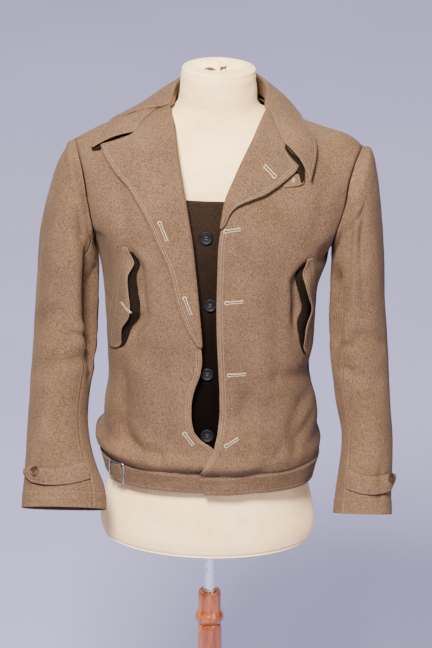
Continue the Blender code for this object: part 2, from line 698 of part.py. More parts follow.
def makeBack(cols=15):
    share = levelRows()[:, None]
    xa, za = sideX(share, -1)
    xb, zb = sideX(share, 1)
    across = np.linspace(-1, 1, cols)[None, :]
    turn = np.where(across < 0, angleOf(xa, za) * across, angleOf(xb, zb) * across)
    z = np.where(across < 0, za, zb) + 0 * across
    for _ in range(4):
        x = np.sign(turn) * halfWidth(across + 0 * turn, z) * np.abs(np.sin(turn)) ** (2 / SQUARENESS)
        x[:, 0] = xa[:, 0]
        x[:, -1] = xb[:, 0]
        top = np.where(np.abs(x) < 0.078, np.minimum(track(SHOULDER, 1, x), 1.4585), track(SHOULDER, 1, x))
        z = np.where(share > 1, levelHeight(share, top), z)
        z[:, 0] = za[:, 0]
        z[:, -1] = zb[:, 0]
    bodyPanel("back", x, z, back=True)


# lapels: each starts at its roll line, turns over outwards and lies back on the front
def rollOver(edge, over, away, radius, turn=math.pi, steps=4):
    """Columns of a turn: from beside an edge, away from it and back over to the other side."""
    columns = []
    for angle in np.linspace(0, turn, steps + 1):
        side = away * radius[:, None] * math.sin(angle)
        columns.append(edge + side + over * (radius * (1 - math.cos(angle)))[:, None])
    return columns


def lapelGrid(table, topTable, column, lifts, rows=15, cols=6):
    """The lapel's middle surface, foot to tip down the rows, roll to edge across the columns."""
    share = np.linspace(0, 1, rows)
    low, high = table[0][0], table[-1][0]
    steps = np.array([row[0] for row in table])
    rollZ = np.interp(share, np.linspace(0, 1, len(table)), steps)
    rollX = track(FRONT_EDGE, column, rollZ)
    edgeX = track(table, 1, rollZ)
    edgeZ = track(table, 2, rollZ)
    top = share ** 7
    foot, tip, crest = lifts
    radius = (foot + (crest - foot) * np.minimum(share * 3, 1) ** 0.8) / 2
    normals = bodyNormal(rollX, rollZ)
    middle = bodyPoint(rollX, rollZ, -CLOTH / 2)
    away = unit(np.cross(np.gradient(middle, axis=0), normals))
    away = away * np.sign(away[:, :1] * (rollX - edgeX)[:, None])
    columns = rollOver(middle + away * 3 * SEAM_GAP, normals, away, radius)
    for q in np.linspace(0, 1, cols)[1:]:
        flatX = rollX + (edgeX - rollX) * q
        flatZ = rollZ + (edgeZ - rollZ) * q
        topX = track(topTable, 1, np.full(rows, q)) - (rollX[-1] + (edgeX[-1] - rollX[-1]) * q)
        topZ = track(topTable, 2, np.full(rows, q)) - (rollZ[-1] + (edgeZ[-1] - rollZ[-1]) * q)
        x, z = flatX + top * topX, flatZ + top * topZ
        settle = 2 * radius - CLOTH / 2
        lift = settle + (np.minimum(settle, tip) - settle) * q ** 1.5
        columns.append(bodyPoint(x, z, lift))
    return np.stack(columns, axis=1)


def makeLapels():
    right = lapelGrid(LAPEL_RIGHT, LAPEL_RIGHT_TOP, 1, (0.0040, 0.0045, 0.0085))
    normals = surfaceNormals(right)
    wall("lapel_right", right + normals * CLOTH / 2, right - normals * CLOTH / 2)
    left = lapelGrid(LAPEL_LEFT, LAPEL_LEFT_TOP, 2, (0.0045, 0.0075, 0.0100), 10)
    normals = surfaceNormals(left)
    wall("lapel_left", left + normals * CLOTH / 2, left - normals * CLOTH / 2)


# the collar
def collarRail(first, at):
    return stack(track(COLLAR, first, at), track(COLLAR, first + 1, at), track(COLLAR, first + 2, at))


def makeCollar():
    at = np.linspace(0, 1, 29)
    inner = collarRail(1, at)
    outer = collarRail(4, at)
    across = outer - inner
    bulge = unit(np.cross(np.gradient(inner, axis=0), across))
    bulge = bulge * np.sign(bulge[:, 2:3] + 0.3 * np.abs(bulge[:, 1:2]))
    share = np.linspace(0, 1, 6)
    grid = np.stack([inner + across * q + bulge * 0.006 * math.sin(math.pi * q) for q in share], axis=1)
    normals = surfaceNormals(grid)
    normals = normals * np.sign((normals * bulge[:, None, :]).sum(-1, keepdims=True))
    sheet("collar_fall", grid, normals)
    at = np.linspace(STAND[0][0], STAND[-1][0], 17)
    fold = collarRail(1, at)
    away = unit(fold - collarRail(4, at))
    under = np.cross(np.gradient(fold, axis=0), away)
    under = unit(under * -np.sign(under[:, 2:3] + 0.3 * np.abs(under[:, 1:2])))
    seam = stack(track(STAND, 1, at), track(STAND, 2, at), track(STAND, 3, at))
    start = fold + under * CLOTH / 2 + away * SEAM_GAP * 4
    turn = rollOver(start, under, away, np.full(len(at), 0.0026), math.radians(150), 3)
    columns = turn + [turn[-1] + (seam - turn[-1]) * q for q in (0.5, 1.0)]
    grid = np.stack(columns, axis=1)
    normals = surfaceNormals(grid)
    wall("collar_stand", grid + normals * CLOTH / 2, grid - normals * CLOTH / 2)


# the sleeves
def sleevePoint(table, angle, at):
    """A place on the sleeve: 0 degrees faces the front, 90 the outside, 180 the back."""
    outer = stack(track(table, 1, at), 0.0, track(table, 2, at))
    inner = stack(track(table, 3, at), 0.0, track(table, 4, at))
    middle = (outer + inner) / 2
    middle[..., 1] = track(table, 5, at)
    pitch = np.radians(track(table, 7, at))
    front = stack(0.0, -np.cos(pitch), np.sin(pitch))
    half = (outer - inner) / 2
    depth = track(table, 6, at)[..., None]
    return middle + half * np.sin(angle)[..., None] + front * depth * np.cos(angle)[..., None]


def sleeveNormal(table, angle, at):
    d = 0.002
    around = sleevePoint(table, angle + d, at) - sleevePoint(table, angle - d, at)
    down = sleevePoint(table, angle, np.minimum(at + d, 1)) - sleevePoint(table, angle, np.maximum(at - d, 0))
    sign = 1 if table[0][1] < 0 else -1
    return unit(np.cross(around, down) * sign)


def sleeveLift(table, angle, at, lift):
    angle, at, lift = np.broadcast_arrays(angle, at, lift)
    return sleevePoint(table, angle, at) + sleeveNormal(table, angle, at) * lift[..., None]


def armholePoint(sign, angle):
    """The body panels' own edge at this angle round the sleeve, and its outward direction."""
    x, z = sideX(1 + (1 + np.sin(angle)) / 2, sign)
    front = np.cos(angle) > 0
    y = np.where(front, bodyY(x, z) - SEAM_GAP / 2, bodyY(x, z, True) + SEAM_GAP / 2)
    return stack(x, y, z), np.where(front[..., None], bodyNormal(x, z), bodyNormal(x, z, True))


def sleeveGrid(table, folds, sign, first, last, rows=14):
    angle = np.radians(np.arange(first, last + 1, ARM_STEP).astype(float))
    trim = SEAM_GAP / SLEEVE_RADIUS
    angle[0] += trim
    angle[-1] -= trim
    ring, ringNormals = armholePoint(sign, angle)
    at = np.concatenate([[0.0], [row[0] for row in table[1:3]], np.linspace(0.18, 1, rows)])[:, None]
    angle = angle[None, :] + 0 * at
    at = at + 0 * angle
    grid = sleeveLift(table, angle, at, sleeveFold(folds, angle, at))
    normals = sleeveNormal(table, angle, at)
    grid[0] = ring + np.array([sign * 1.5 * SEAM_GAP, 0.0, 0.0])
    normals[0] = unit(ringNormals + normals[0])
    return grid, normals


def makeSleeves():
    for side, table, folds, sign in SLEEVES:
        sheet("sleeve_top_" + side, *sleeveGrid(table, folds, sign, -45, 210))
        sheet("sleeve_under_" + side, *sleeveGrid(table, folds, sign, 210, 315))


# what lies on the panels: each is made from the panel's own points, moved out
def layOn(name, x, z, lift, thick=CLOTH, back=False):
    sheet(name, bodyPoint(x, z, lift, back), bodyNormal(x, z, back), thick)


def makeUnderFlap():
    top, foot = FLAP_TOP_Z, FLAP_FOOT_Z
    shared = levelHeight(levelRows()[1:12], ARMPIT_Z)
    z = np.concatenate([shared, [1.272, 1.308, top]])[:, None]
    share = (z - foot) / (top - foot)
    attached = -0.063 - 0.025 * share
    across = np.array([0.0, 0.07, 0.16, 0.34, 0.60, 1.0])[None, :]
    x = attached + (0.034 - attached) * across
    z = z + 0 * across
    ease = np.minimum(across / 0.34, 1) ** 1.3
    layOn("under_flap", x, z, -CLOTH - FLAP_BEHIND - flapDepth(z) * ease)


def flapDepth(z):
    """How far the under flap hangs back from the fronts: more towards the waist."""
    return 0.0110 + 0.0070 * (FLAP_TOP_Z - z) / (FLAP_TOP_Z - FLAP_FOOT_Z)


def makeButton(name, radius, place, normal, kind):
    """A dished button: its rim stands up round a flat middle."""
    r = radius
    button = turned(name, [
        (0.0, r * 0.18), (r * 0.55, r * 0.18), (r * 0.72, r * 0.30), (r * 0.88, r * 0.33),
        (r * 0.98, r * 0.24), (r, r * 0.14), (r * 0.9, r * 0.04), (r * 0.6, 0.0), (0.0, 0.0),
    ], kind, 18)
    x, y, z = lean(place + normal * SEAM_GAP * 1.5)
    button.location = (x, y, z)
    direction = Vector(lean(place + normal) - lean(place))
    button.rotation_euler = direction.to_track_quat("Z", "Y").to_euler()


def makeFrontButtons():
    for number, (x, z) in enumerate(BUTTON_PLACES, 1):
        x, z = np.array(x), np.array(z)
        place = bodyPoint(x, z, -CLOTH - FLAP_BEHIND + SEAM_GAP - flapDepth(z))
        makeButton("button_" + str(number), FRONT_BUTTON_RADIUS, place, bodyNormal(x, z), "dark_plastic")


def makeThroatTab():
    across = np.array([0.0, 0.35, 0.7, 0.92, 1.0])[None, :]
    up = np.array([-1.0, 0.0, 1.0])[:, None]
    half = THROAT_TAB_HALF * np.array([1.0, 1.0, 1.0, 0.80, 0.45])[None, :]
    x, z = np.broadcast_arrays(THROAT_TAB_X + THROAT_TAB_LENGTH * across, THROAT_TAB_Z + half * up)
    layOn("throat_tab", x, z, CLOTH + SEAM_GAP)


def flapGrid(table, cols=5):
    at = np.linspace(0, 1, 15)[:, None]
    across = np.linspace(0, 1, cols)[None, :]
    x = track(table, 1, at) + (track(table, 3, at) - track(table, 1, at)) * across
    z = track(table, 2, at) + (track(table, 4, at) - track(table, 2, at)) * across
    stand = 0.0105 * np.sin(np.clip(at * 1.15, 0, 1) * math.pi) ** 0.6 + 0.0012
    lift = CLOTH + SEAM_GAP + stand * across ** 1.4
    return x, z, lift


def makePocketFlaps():
    layOn("pocket_flap_right", *flapGrid(FLAP_RIGHT))
    layOn("pocket_flap_left", *flapGrid(FLAP_LEFT))


# the waistband and its side strap
def bandGrid(startTurn, endTurn, cols, sign, back=False):
    turn = np.linspace(startTurn, endTurn, cols)[None, :]
    share = np.linspace(0, 1, 4)[:, None]
    bottom = HEM_Z + (0.0 if back else HEM_RISE * np.cos(turn) ** 2)
    z = bottom + (BAND_TOP_Z - 2 * SEAM_GAP - bottom) * share
    side = np.sign(turn) * sign
    x = side * halfWidth(side, z) * np.abs(np.sin(turn)) ** (2 / SQUARENESS)
    return x, z


def turnAt(x):
    return float(angleOf(np.array(x), np.array(BAND_MIDDLE_Z))) * (1 if x >= 0 else -1)


def makeWaistband():
    quarter = math.pi / 2
    x, z = bandGrid(-turnAt(BAND_RIGHT_END_X), quarter, 13, -1)
    bodyWall("band_right", x, z, np.full(x.shape, BAND_LIFT))
    x, z = bandGrid(turnAt(BAND_LEFT_END_X), quarter, 15, 1)
    x[:, 0] += np.linspace(BAND_END_SLANT, -BAND_END_SLANT, 4)
    bodyWall("band_left", x, z, BAND_LIFT + overlapLift(x, np.full(x.shape, BAND_TOP_Z)))
    x, z = bandGrid(-quarter, quarter, 19, 1, True)
    bodyWall("band_back", x, z, np.full(x.shape, BAND_LIFT), True)


def bodyWall(name, x, z, lift, back=False):
    face = bodyPoint(x, z, lift, back)
    wall(name, face, face - bodyNormal(x, z, back) * BAND_THICK)


def makeStrap():
    """The back's strap comes forward over the side seam and through the buckle."""
    front = np.linspace(-turnAt(STRAP_END_X), math.pi / 2, 6)
    behind = np.linspace(math.pi / 2, STRAP_BACK_TURN, 5)[1:]
    z = np.linspace(STRAP_LOW_Z, STRAP_TOP_Z, 3)[:, None]
    lift = np.full(z.shape, BAND_LIFT + SEAM_GAP + CLOTH)
    columns = []
    normals = []
    for turn, back in [(t, False) for t in front] + [(t, True) for t in behind]:
        x = -halfWidth(-1.0, z) * abs(math.sin(turn)) ** (2 / SQUARENESS)
        x = np.minimum(x, STRAP_END_X)
        columns.append(bodyPoint(x, z, lift, back)[:, 0])
        normals.append(bodyNormal(x, z, back)[:, 0])
    sheet("strap", np.stack(columns, axis=1), np.stack(normals, axis=1))


def makeBuckle():
    """A rectangular slide of wire: its right bar lies low beside the strap's end, the left one over it."""
    corners = [(-0.1388, 0.8475, 0.0026), (-0.1388, 0.8870, 0.0026),
               (-0.1590, 0.8870, 0.0051), (-0.1590, 0.8475, 0.0051)]
    curve = bpy.data.curves.new("buckle", "CURVE")
    curve.dimensions = "3D"
    curve.bevel_depth = 0.0011
    curve.bevel_resolution = 2
    line = curve.splines.new("POLY")
    points = []
    for i, here in enumerate(corners):
        before, after = corners[i - 1], corners[(i + 1) % 4]
        for other in (before, after):
            step = 0.0025 / max(abs(other[0] - here[0]), abs(other[1] - here[1]))
            points.append([h + (o - h) * step for h, o in zip(here, other)])
    line.points.add(len(points) - 1)
    for point, (x, z, lift) in zip(line.points, points):
        place = lean(bodyPoint(np.array(x), np.array(z), np.array(lift)))
        point.co = (*place, 1.0)
    line.use_cyclic_u = True
    obj = bpy.data.objects.new("buckle", curve)
    partsCollection.objects.link(obj)
    giveFinish(obj, "steel")


# the cuffs
def tabGrid(table, ends, levels, depth):
    """A tab on the sleeve: from its seam at the front round to its pointed, buttoned end."""
    angle = np.radians(np.linspace(ends[0], ends[1], 9))[None, :]
    share = np.linspace(0, 1, 9)[None, :]
    up = np.linspace(-1, 1, 4)[:, None]
    point = np.clip((1 - share) / 0.16, 0.25, 1) ** 0.6
    middle = levels[0] + (levels[1] - levels[0]) * share + depth * np.sin(share * math.pi)
    at = middle + TAB_HALF * point * up
    lift = CLOTH + 3 * SEAM_GAP + TAB_STAND * np.clip((share - 0.35) / 0.3, 0, 1)
    angle, at, lift = np.broadcast_arrays(angle, at, lift)
    return sleeveLift(table, angle, at, lift), sleeveNormal(table, angle, at)


def makeCuffs():
    for side, table, ends, levels, buttonTurn in CUFF_TABS:
        sheet("cuff_tab_" + side, *tabGrid(table, ends, levels, TAB_SAG))
        angle = np.radians(np.array(buttonTurn))
        at = np.array(levels[1])
        place = sleeveLift(table, angle, at, np.array(CLOTH + TAB_STAND + 3 * SEAM_GAP))
        normal = sleeveNormal(table, angle, at)
        makeButton("cuff_button_" + side, CUFF_BUTTON_RADIUS, place, normal, "brown_plastic")


makeBase()
makePost()
makeFerrule()
makeRod()
makeForm()
makeFronts()
makeBack()
makeLapels()
makeCollar()
makeSleeves()
makeUnderFlap()
makeFrontButtons()
makeThroatTab()
makePocketFlaps()
makeWaistband()
makeStrap()
makeBuckle()
makeCuffs()
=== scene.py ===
# Photo-matched scene of the wool blouson on its dress form and turned stand, around the frame's model.
# Metres, +Z up, the front faces -Y. Tables and formulas are the CAD source's own, on much finer grids.
import math
import bmesh
import bpy
import numpy as np
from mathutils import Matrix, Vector
from mathutils.kdtree import KDTree


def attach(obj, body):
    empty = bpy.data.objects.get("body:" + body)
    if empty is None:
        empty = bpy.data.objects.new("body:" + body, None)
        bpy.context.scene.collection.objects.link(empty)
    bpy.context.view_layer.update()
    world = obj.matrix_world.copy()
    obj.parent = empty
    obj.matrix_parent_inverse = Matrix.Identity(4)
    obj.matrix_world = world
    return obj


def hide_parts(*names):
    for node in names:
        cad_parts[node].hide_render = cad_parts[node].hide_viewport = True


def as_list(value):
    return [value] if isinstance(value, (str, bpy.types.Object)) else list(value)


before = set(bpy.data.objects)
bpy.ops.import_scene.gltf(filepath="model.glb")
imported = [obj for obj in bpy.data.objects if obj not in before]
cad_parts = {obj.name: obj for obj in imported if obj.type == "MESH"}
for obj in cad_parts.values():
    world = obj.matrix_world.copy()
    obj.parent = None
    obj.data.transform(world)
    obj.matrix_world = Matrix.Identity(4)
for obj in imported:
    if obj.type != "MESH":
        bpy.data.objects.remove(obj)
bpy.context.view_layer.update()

# fixed sizes
clothThick = 0.0018
seamGap = 0.0003
leanAngle = math.radians(1.4)
formBaseZ = 0.73
hemZ = 0.845
bandTopZ = 0.888
bandThick = 0.0028
armpitZ = 1.235
formCentreX = -0.004
formTopZ = 1.5205
rodRadius = 0.0088
rodInForm = 0.045
rodFootZ = 0.3
postTopZ = 0.624
seatRadius = 0.0118
seatDepth = 0.006
baseRadius = 0.205
baseTopZ = 0.034
squareness = 2.35  # of the body's cross-section: 2 is an ellipse
roofFront = 0.21  # height over which the front rounds over to the shoulder line
roofBack = 0.17
sleeveRadius = 0.055
sleeveLength = 0.6
# the garment's girth: height, half width on -X and +X, depth to the front and to the back
torso = [
    (0.84, 0.166, 0.164, 0.131, 0.126),
    (0.872, 0.1745, 0.1715, 0.134, 0.128),
    (0.892, 0.1795, 0.1745, 0.1383, 0.132),
    (0.925, 0.174, 0.17, 0.139, 0.131),
    (0.96, 0.1745, 0.1675, 0.137, 0.128),
    (0.995, 0.169, 0.158, 0.136, 0.124),
    (1.03, 0.1695, 0.1525, 0.137, 0.121),
    (1.07, 0.1715, 0.157, 0.139, 0.121),
    (1.12, 0.175, 0.159, 0.141, 0.123),
    (1.165, 0.1795, 0.163, 0.142, 0.126),
    (1.2, 0.185, 0.174, 0.142, 0.128),
    (1.235, 0.193, 0.182, 0.141, 0.129),
    (1.28, 0.214, 0.208, 0.139, 0.129),
    (1.32, 0.226, 0.223, 0.137, 0.127),
    (1.36, 0.236, 0.234, 0.135, 0.125),
    (1.42, 0.242, 0.24, 0.132, 0.122),
    (1.52, 0.242, 0.24, 0.13, 0.12),
]
# the shoulder line: x, height
shoulder = [
    (-0.24, 1.39),
    (-0.2265, 1.3965),
    (-0.19, 1.4165),
    (-0.157, 1.43),
    (-0.1, 1.45),
    (-0.078, 1.459),
    (0.0, 1.498),
    (0.078, 1.457),
    (0.12, 1.438),
    (0.157, 1.4255),
    (0.2173, 1.402),
    (0.224, 1.396),
    (0.24, 1.389),
]
# front edges and roll lines: height, x of the right front, x of the left front
frontEdge = [
    (0.888, 0.012, -0.0195),
    (0.901, 0.011, -0.0143),
    (0.921, 0.007, -0.0025),
    (0.934, -0.002, 0.0032),
    (0.944, -0.0185, 0.005),
    (0.953, -0.0268, 0.0072),
    (0.97, -0.033, 0.009),
    (0.993, -0.0351, 0.0106),
    (1.012, -0.0344, 0.01),
    (1.034, -0.0297, 0.0092),
    (1.054, -0.0232, 0.0076),
    (1.077, -0.0202, 0.006),
    (1.105, -0.0225, 0.004),
    (1.16, -0.0287, 0.0016),
    (1.226, -0.037, 0.0014),
    (1.282, -0.0444, 0.003),
    (1.316, -0.0506, 0.009),
    (1.348, -0.0567, 0.0165),
    (1.368, -0.0608, 0.025),
    (1.399, -0.0672, 0.0395),
    (1.428, -0.0722, 0.056),
    (1.443, -0.0746, 0.064),
    (1.46, -0.0775, 0.0765),
]
# the armholes seen from the front: height, x on -X, x on +X
armhole = [
    (1.235, -0.193, 0.182),
    (1.262, -0.1955, 0.185),
    (1.285, -0.2005, 0.192),
    (1.312, -0.206, 0.2),
    (1.34, -0.211, 0.204),
    (1.362, -0.216, 0.21),
    (1.382, -0.2215, 0.217),
    (1.4, -0.227, 0.2245),
]
# the right front's deep lapel, from its foot to its tip: roll height, edge x, edge z
lapelRight = [
    (1.104, -0.0272, 1.106),
    (1.135, -0.0443, 1.135),
    (1.169, -0.0575, 1.1689),
    (1.192, -0.0642, 1.1915),
    (1.229, -0.0726, 1.2267),
    (1.275, -0.0921, 1.2702),
    (1.312, -0.11, 1.307),
    (1.337, -0.1232, 1.3275),
    (1.366, -0.14, 1.35),
    (1.392, -0.1566, 1.3639),
    (1.415, -0.1765, 1.386),
    (1.438, -0.1825, 1.399),
]
lapelRightTop = [
    (0.0, -0.0745, 1.442),
    (0.18, -0.086, 1.445),
    (0.34, -0.103, 1.44),
    (0.5, -0.1205, 1.4298),
    (0.63, -0.134, 1.4183),
    (0.8, -0.156, 1.4085),
    (1.0, -0.1825, 1.399),
]
# the left front's short lapel: roll height, edge x, edge z
lapelLeft = [
    (1.3, 0.0115, 1.308),
    (1.318, 0.0185, 1.326),
    (1.334, 0.03, 1.3365),
    (1.35, 0.049, 1.3435),
    (1.366, 0.0673, 1.3485),
    (1.384, 0.0863, 1.3583),
    (1.402, 0.1029, 1.3686),
    (1.42, 0.1145, 1.3766),
    (1.438, 0.1195, 1.3835),
]
lapelLeftTop = [
    (0.0, 0.0625, 1.44),
    (0.16, 0.0735, 1.447),
    (0.3, 0.0797, 1.4406),
    (0.45, 0.0863, 1.4275),
    (0.62, 0.0945, 1.4115),
    (0.8, 0.1042, 1.398),
    (1.0, 0.1195, 1.3835),
]
# the collar's fall, round the neck from the right notch to the left notch:
# place, inner edge x y z, outer edge x y z
collarRails = [
    (0.0, -0.1335, -0.0537, 1.4279, -0.1986, -0.05, 1.399),
    (0.06, -0.119, -0.0385, 1.4445, -0.1929, -0.038, 1.41),
    (0.13, -0.101, -0.025, 1.457, -0.1825, -0.022, 1.422),
    (0.2, -0.083, -0.026, 1.465, -0.169, -0.004, 1.433),
    (0.28, -0.079, -0.003, 1.4745, -0.154, 0.023, 1.431),
    (0.36, -0.07, 0.036, 1.486, -0.122, 0.053, 1.428),
    (0.44, -0.042, 0.067, 1.493, -0.072, 0.085, 1.424),
    (0.52, 0.0, 0.079, 1.496, 0.0, 0.109, 1.42),
    (0.6, 0.042, 0.067, 1.495, 0.066, 0.085, 1.426),
    (0.68, 0.069, 0.036, 1.49, 0.106, 0.051, 1.435),
    (0.76, 0.077, 0.001, 1.482, 0.123, 0.016, 1.444),
    (0.84, 0.073, -0.03, 1.466, 0.134, -0.026, 1.437),
    (0.9, 0.082, -0.046, 1.456, 0.148, -0.053, 1.421),
    (0.95, 0.091, -0.064, 1.438, 0.15, -0.073, 1.401),
    (1.0, 0.101, -0.076, 1.422, 0.142, -0.0985, 1.368),
]
# the collar's stand: place on the table above, seam x y z at its foot
collarFoot = [
    (0.2, -0.0718, -0.034, 1.456),
    (0.28, -0.0715, -0.002, 1.464),
    (0.36, -0.065, 0.041, 1.4615),
    (0.44, -0.038, 0.069, 1.46),
    (0.52, 0.0, 0.08, 1.461),
    (0.6, 0.038, 0.069, 1.46),
    (0.68, 0.065, 0.041, 1.461),
    (0.76, 0.0715, -0.001, 1.459),
    (0.84, 0.064, -0.029, 1.454),
]
# sleeves: outer x z, inner x z, y of the middle, half depth, lean forward in degrees
sleeveRight = [
    (0.0, -0.227, 1.4, -0.193, 1.235, 0.0, 0.062, 0),
    (0.045, -0.24, 1.382, -0.1908, 1.219, -0.001, 0.0665, 0),
    (0.1, -0.253, 1.359, -0.187, 1.201, -0.002, 0.0695, 1),
    (0.18, -0.2655, 1.32, -0.1862, 1.18, -0.003, 0.071, 2),
    (0.26, -0.2755, 1.272, -0.1862, 1.156, -0.004, 0.071, 3),
    (0.34, -0.281, 1.226, -0.1862, 1.13, -0.004, 0.07, 4),
    (0.43, -0.285, 1.15, -0.1862, 1.095, -0.005, 0.067, 7),
    (0.52, -0.2885, 1.085, -0.188, 1.06, -0.012, 0.064, 11),
    (0.6, -0.291, 1.025, -0.192, 1.015, -0.026, 0.061, 16),
    (0.68, -0.293, 0.978, -0.1985, 0.972, -0.044, 0.058, 21),
    (0.76, -0.2955, 0.93, -0.1975, 0.928, -0.066, 0.054, 26),
    (0.84, -0.2965, 0.885, -0.1855, 0.885, -0.09, 0.048, 28),
    (0.92, -0.299, 0.851, -0.17, 0.851, -0.109, 0.041, 28),
    (1.0, -0.301, 0.82, -0.167, 0.82, -0.127, 0.035, 28),
]
sleeveLeft = [
    (0.0, 0.2245, 1.4, 0.182, 1.235, 0.0, 0.062, 0),
    (0.045, 0.24, 1.385, 0.1815, 1.218, -0.001, 0.0665, 0),
    (0.1, 0.248, 1.356, 0.1815, 1.201, -0.002, 0.0695, 1),
    (0.18, 0.2545, 1.315, 0.1815, 1.18, -0.003, 0.071, 2),
    (0.26, 0.2605, 1.266, 0.1815, 1.156, -0.004, 0.071, 3),
    (0.34, 0.2655, 1.217, 0.1815, 1.13, -0.004, 0.07, 4),
    (0.43, 0.271, 1.14, 0.183, 1.095, -0.005, 0.067, 7),
    (0.52, 0.276, 1.085, 0.1845, 1.06, -0.01, 0.064, 10),
    (0.6, 0.2805, 1.035, 0.1885, 1.025, -0.022, 0.062, 14),
    (0.68, 0.284, 0.988, 0.196, 0.982, -0.038, 0.059, 18),
    (0.76, 0.288, 0.938, 0.206, 0.936, -0.058, 0.056, 21),
    (0.84, 0.2885, 0.89, 0.204, 0.89, -0.08, 0.053, 22),
    (0.92, 0.2875, 0.85, 0.199, 0.85, -0.099, 0.051, 22),
    (1.0, 0.2885, 0.818, 0.1965, 0.818, -0.115, 0.05, 22),
]
# pocket flaps from the top down: seam x z, free edge x z
flapRight = [
    (0.0, -0.147, 1.254, -0.1394, 1.2565),
    (0.08, -0.1485, 1.24, -0.1279, 1.2364),
    (0.16, -0.151, 1.225, -0.129, 1.2243),
    (0.24, -0.1535, 1.21, -0.1317, 1.2145),
    (0.38, -0.1585, 1.182, -0.1299, 1.1877),
    (0.54, -0.164, 1.15, -0.1268, 1.1581),
    (0.64, -0.1665, 1.128, -0.1292, 1.1422),
    (0.76, -0.1675, 1.106, -0.1404, 1.1183),
    (0.9, -0.166, 1.08, -0.1471, 1.0857),
    (1.0, -0.164, 1.07, -0.1543, 1.0766),
]
flapLeft = [
    (0.0, 0.148, 1.24, 0.14, 1.242),
    (0.08, 0.151, 1.226, 0.133, 1.225),
    (0.16, 0.153, 1.212, 0.1317, 1.211),
    (0.24, 0.1545, 1.198, 0.133, 1.2),
    (0.38, 0.156, 1.17, 0.1365, 1.178),
    (0.54, 0.1555, 1.142, 0.1395, 1.15),
    (0.64, 0.1548, 1.124, 0.136, 1.132),
    (0.76, 0.153, 1.104, 0.1351, 1.113),
    (0.9, 0.151, 1.078, 0.139, 1.083),
    (1.0, 0.1495, 1.065, 0.144, 1.068),
]
# the dress form: height, half width, half depth to the front, to the back
formRings = [
    (0.73, 0.15, 0.1, 0.096),
    (0.731, 0.16, 0.1085, 0.104),
    (0.736, 0.168, 0.115, 0.1105),
    (0.748, 0.1735, 0.119, 0.1145),
    (0.77, 0.174, 0.12, 0.1155),
    (0.8, 0.168, 0.119, 0.1145),
    (0.845, 0.157, 0.1165, 0.111),
    (0.89, 0.148, 0.112, 0.104),
    (0.95, 0.139, 0.104, 0.095),
    (1.02, 0.133, 0.098, 0.088),
    (1.09, 0.137, 0.1, 0.09),
    (1.17, 0.15, 0.106, 0.096),
    (1.25, 0.162, 0.11, 0.102),
    (1.31, 0.167, 0.108, 0.101),
    (1.35, 0.169, 0.1, 0.095),
    (1.382, 0.167, 0.088, 0.088),
    (1.405, 0.158, 0.0735, 0.0755),
    (1.4222, 0.1446, 0.066, 0.0675),
    (1.4344, 0.123, 0.0628, 0.0644),
    (1.4446, 0.0955, 0.0606, 0.0618),
    (1.4528, 0.074, 0.0596, 0.0606),
    (1.461, 0.065, 0.059, 0.06),
    (1.472, 0.0615, 0.0586, 0.0593),
    (1.495, 0.059, 0.0575, 0.058),
    (1.513, 0.0572, 0.056, 0.0565),
    (1.5185, 0.055, 0.0535, 0.054),
    (1.5205, 0.049, 0.048, 0.048),
]


# reading the tables and measuring the body
def track(table, column, at):
    # one column of a table as a smooth curve: cubic pieces with the slopes weighted by the steps
    keys = np.array([row[0] for row in table], float)
    values = np.array([row[column] for row in table], float)
    at = np.clip(at, keys[0], keys[-1])
    i = np.clip(np.searchsorted(keys, at, side="right") - 1, 0, len(keys) - 2)
    step = np.diff(keys)
    slope = np.diff(values) / step
    turn = np.empty_like(values)
    turn[0], turn[-1] = slope[0], slope[-1]
    turn[1:-1] = (slope[:-1] * step[1:] + slope[1:] * step[:-1]) / (step[:-1] + step[1:])
    h = step[i]
    u = (at - keys[i]) / h
    start = values[i] * (1 + 2 * u) * (1 - u) ** 2 + turn[i] * h * u * (1 - u) ** 2
    return start + values[i + 1] * u * u * (3 - 2 * u) + turn[i + 1] * h * u * u * (u - 1)


def stack(x, y, z):
    # x, y and z side by side, as points
    x, y, z = np.broadcast_arrays(x, y, z)
    return np.stack([x, y, z], axis=-1)


def unit(vectors):
    # each vector over its own length
    return vectors / np.maximum(np.linalg.norm(vectors, axis=-1, keepdims=True), 1e-12)


def smooth(value, low, high):
    # 0 at low, 1 at high, with a soft start and end: 3t^2 - 2t^3
    t = np.clip((value - low) / (high - low), 0, 1)
    return t * t * (3 - 2 * t)


def halfWidth(x, z):
    # the girth's half width on the side of x
    return np.where(x < 0, track(torso, 1, z), track(torso, 2, z))


def bodyY(x, z, back=False):
    # depth(z) * (1 - |x / half|^q)^(1/q), rounded over below the shoulder line
    side = np.clip(1 - np.clip(np.abs(x) / halfWidth(x, z), 0, 1) ** squareness, 0, 1)
    drop = (track(shoulder, 1, x) - z) / (roofBack if back else roofFront)
    roof = np.sqrt(1 - (1 - np.clip(drop, 0, 1)) ** 2)
    depth = track(torso, 4 if back else 3, z) * side ** (1 / squareness) * roof
    return depth if back else -depth


def bodyNormal(x, z, back=False):
    # the slopes s of bodyY along x and z give (sx, -1, sz) in front, its opposite behind
    d = 0.0004
    inward = np.where(x < 0, 1.0, -1.0)
    alongX = (bodyY(x + inward * d, z, back) - bodyY(x, z, back)) / (inward * d)
    alongZ = (bodyY(x, z, back) - bodyY(x, z - d, back)) / d
    return unit(stack(-alongX, 1.0, -alongZ)) if back else unit(stack(alongX, -1.0, alongZ))


def bodyPoint(x, z, lift=0.0, back=False):
    # the body's surface, moved out along its normal by the lift
    gap = seamGap / 2 if back else -seamGap / 2
    return stack(x, bodyY(x, z, back) + gap, z) + bodyNormal(x, z, back) * np.asarray(lift)[..., None]


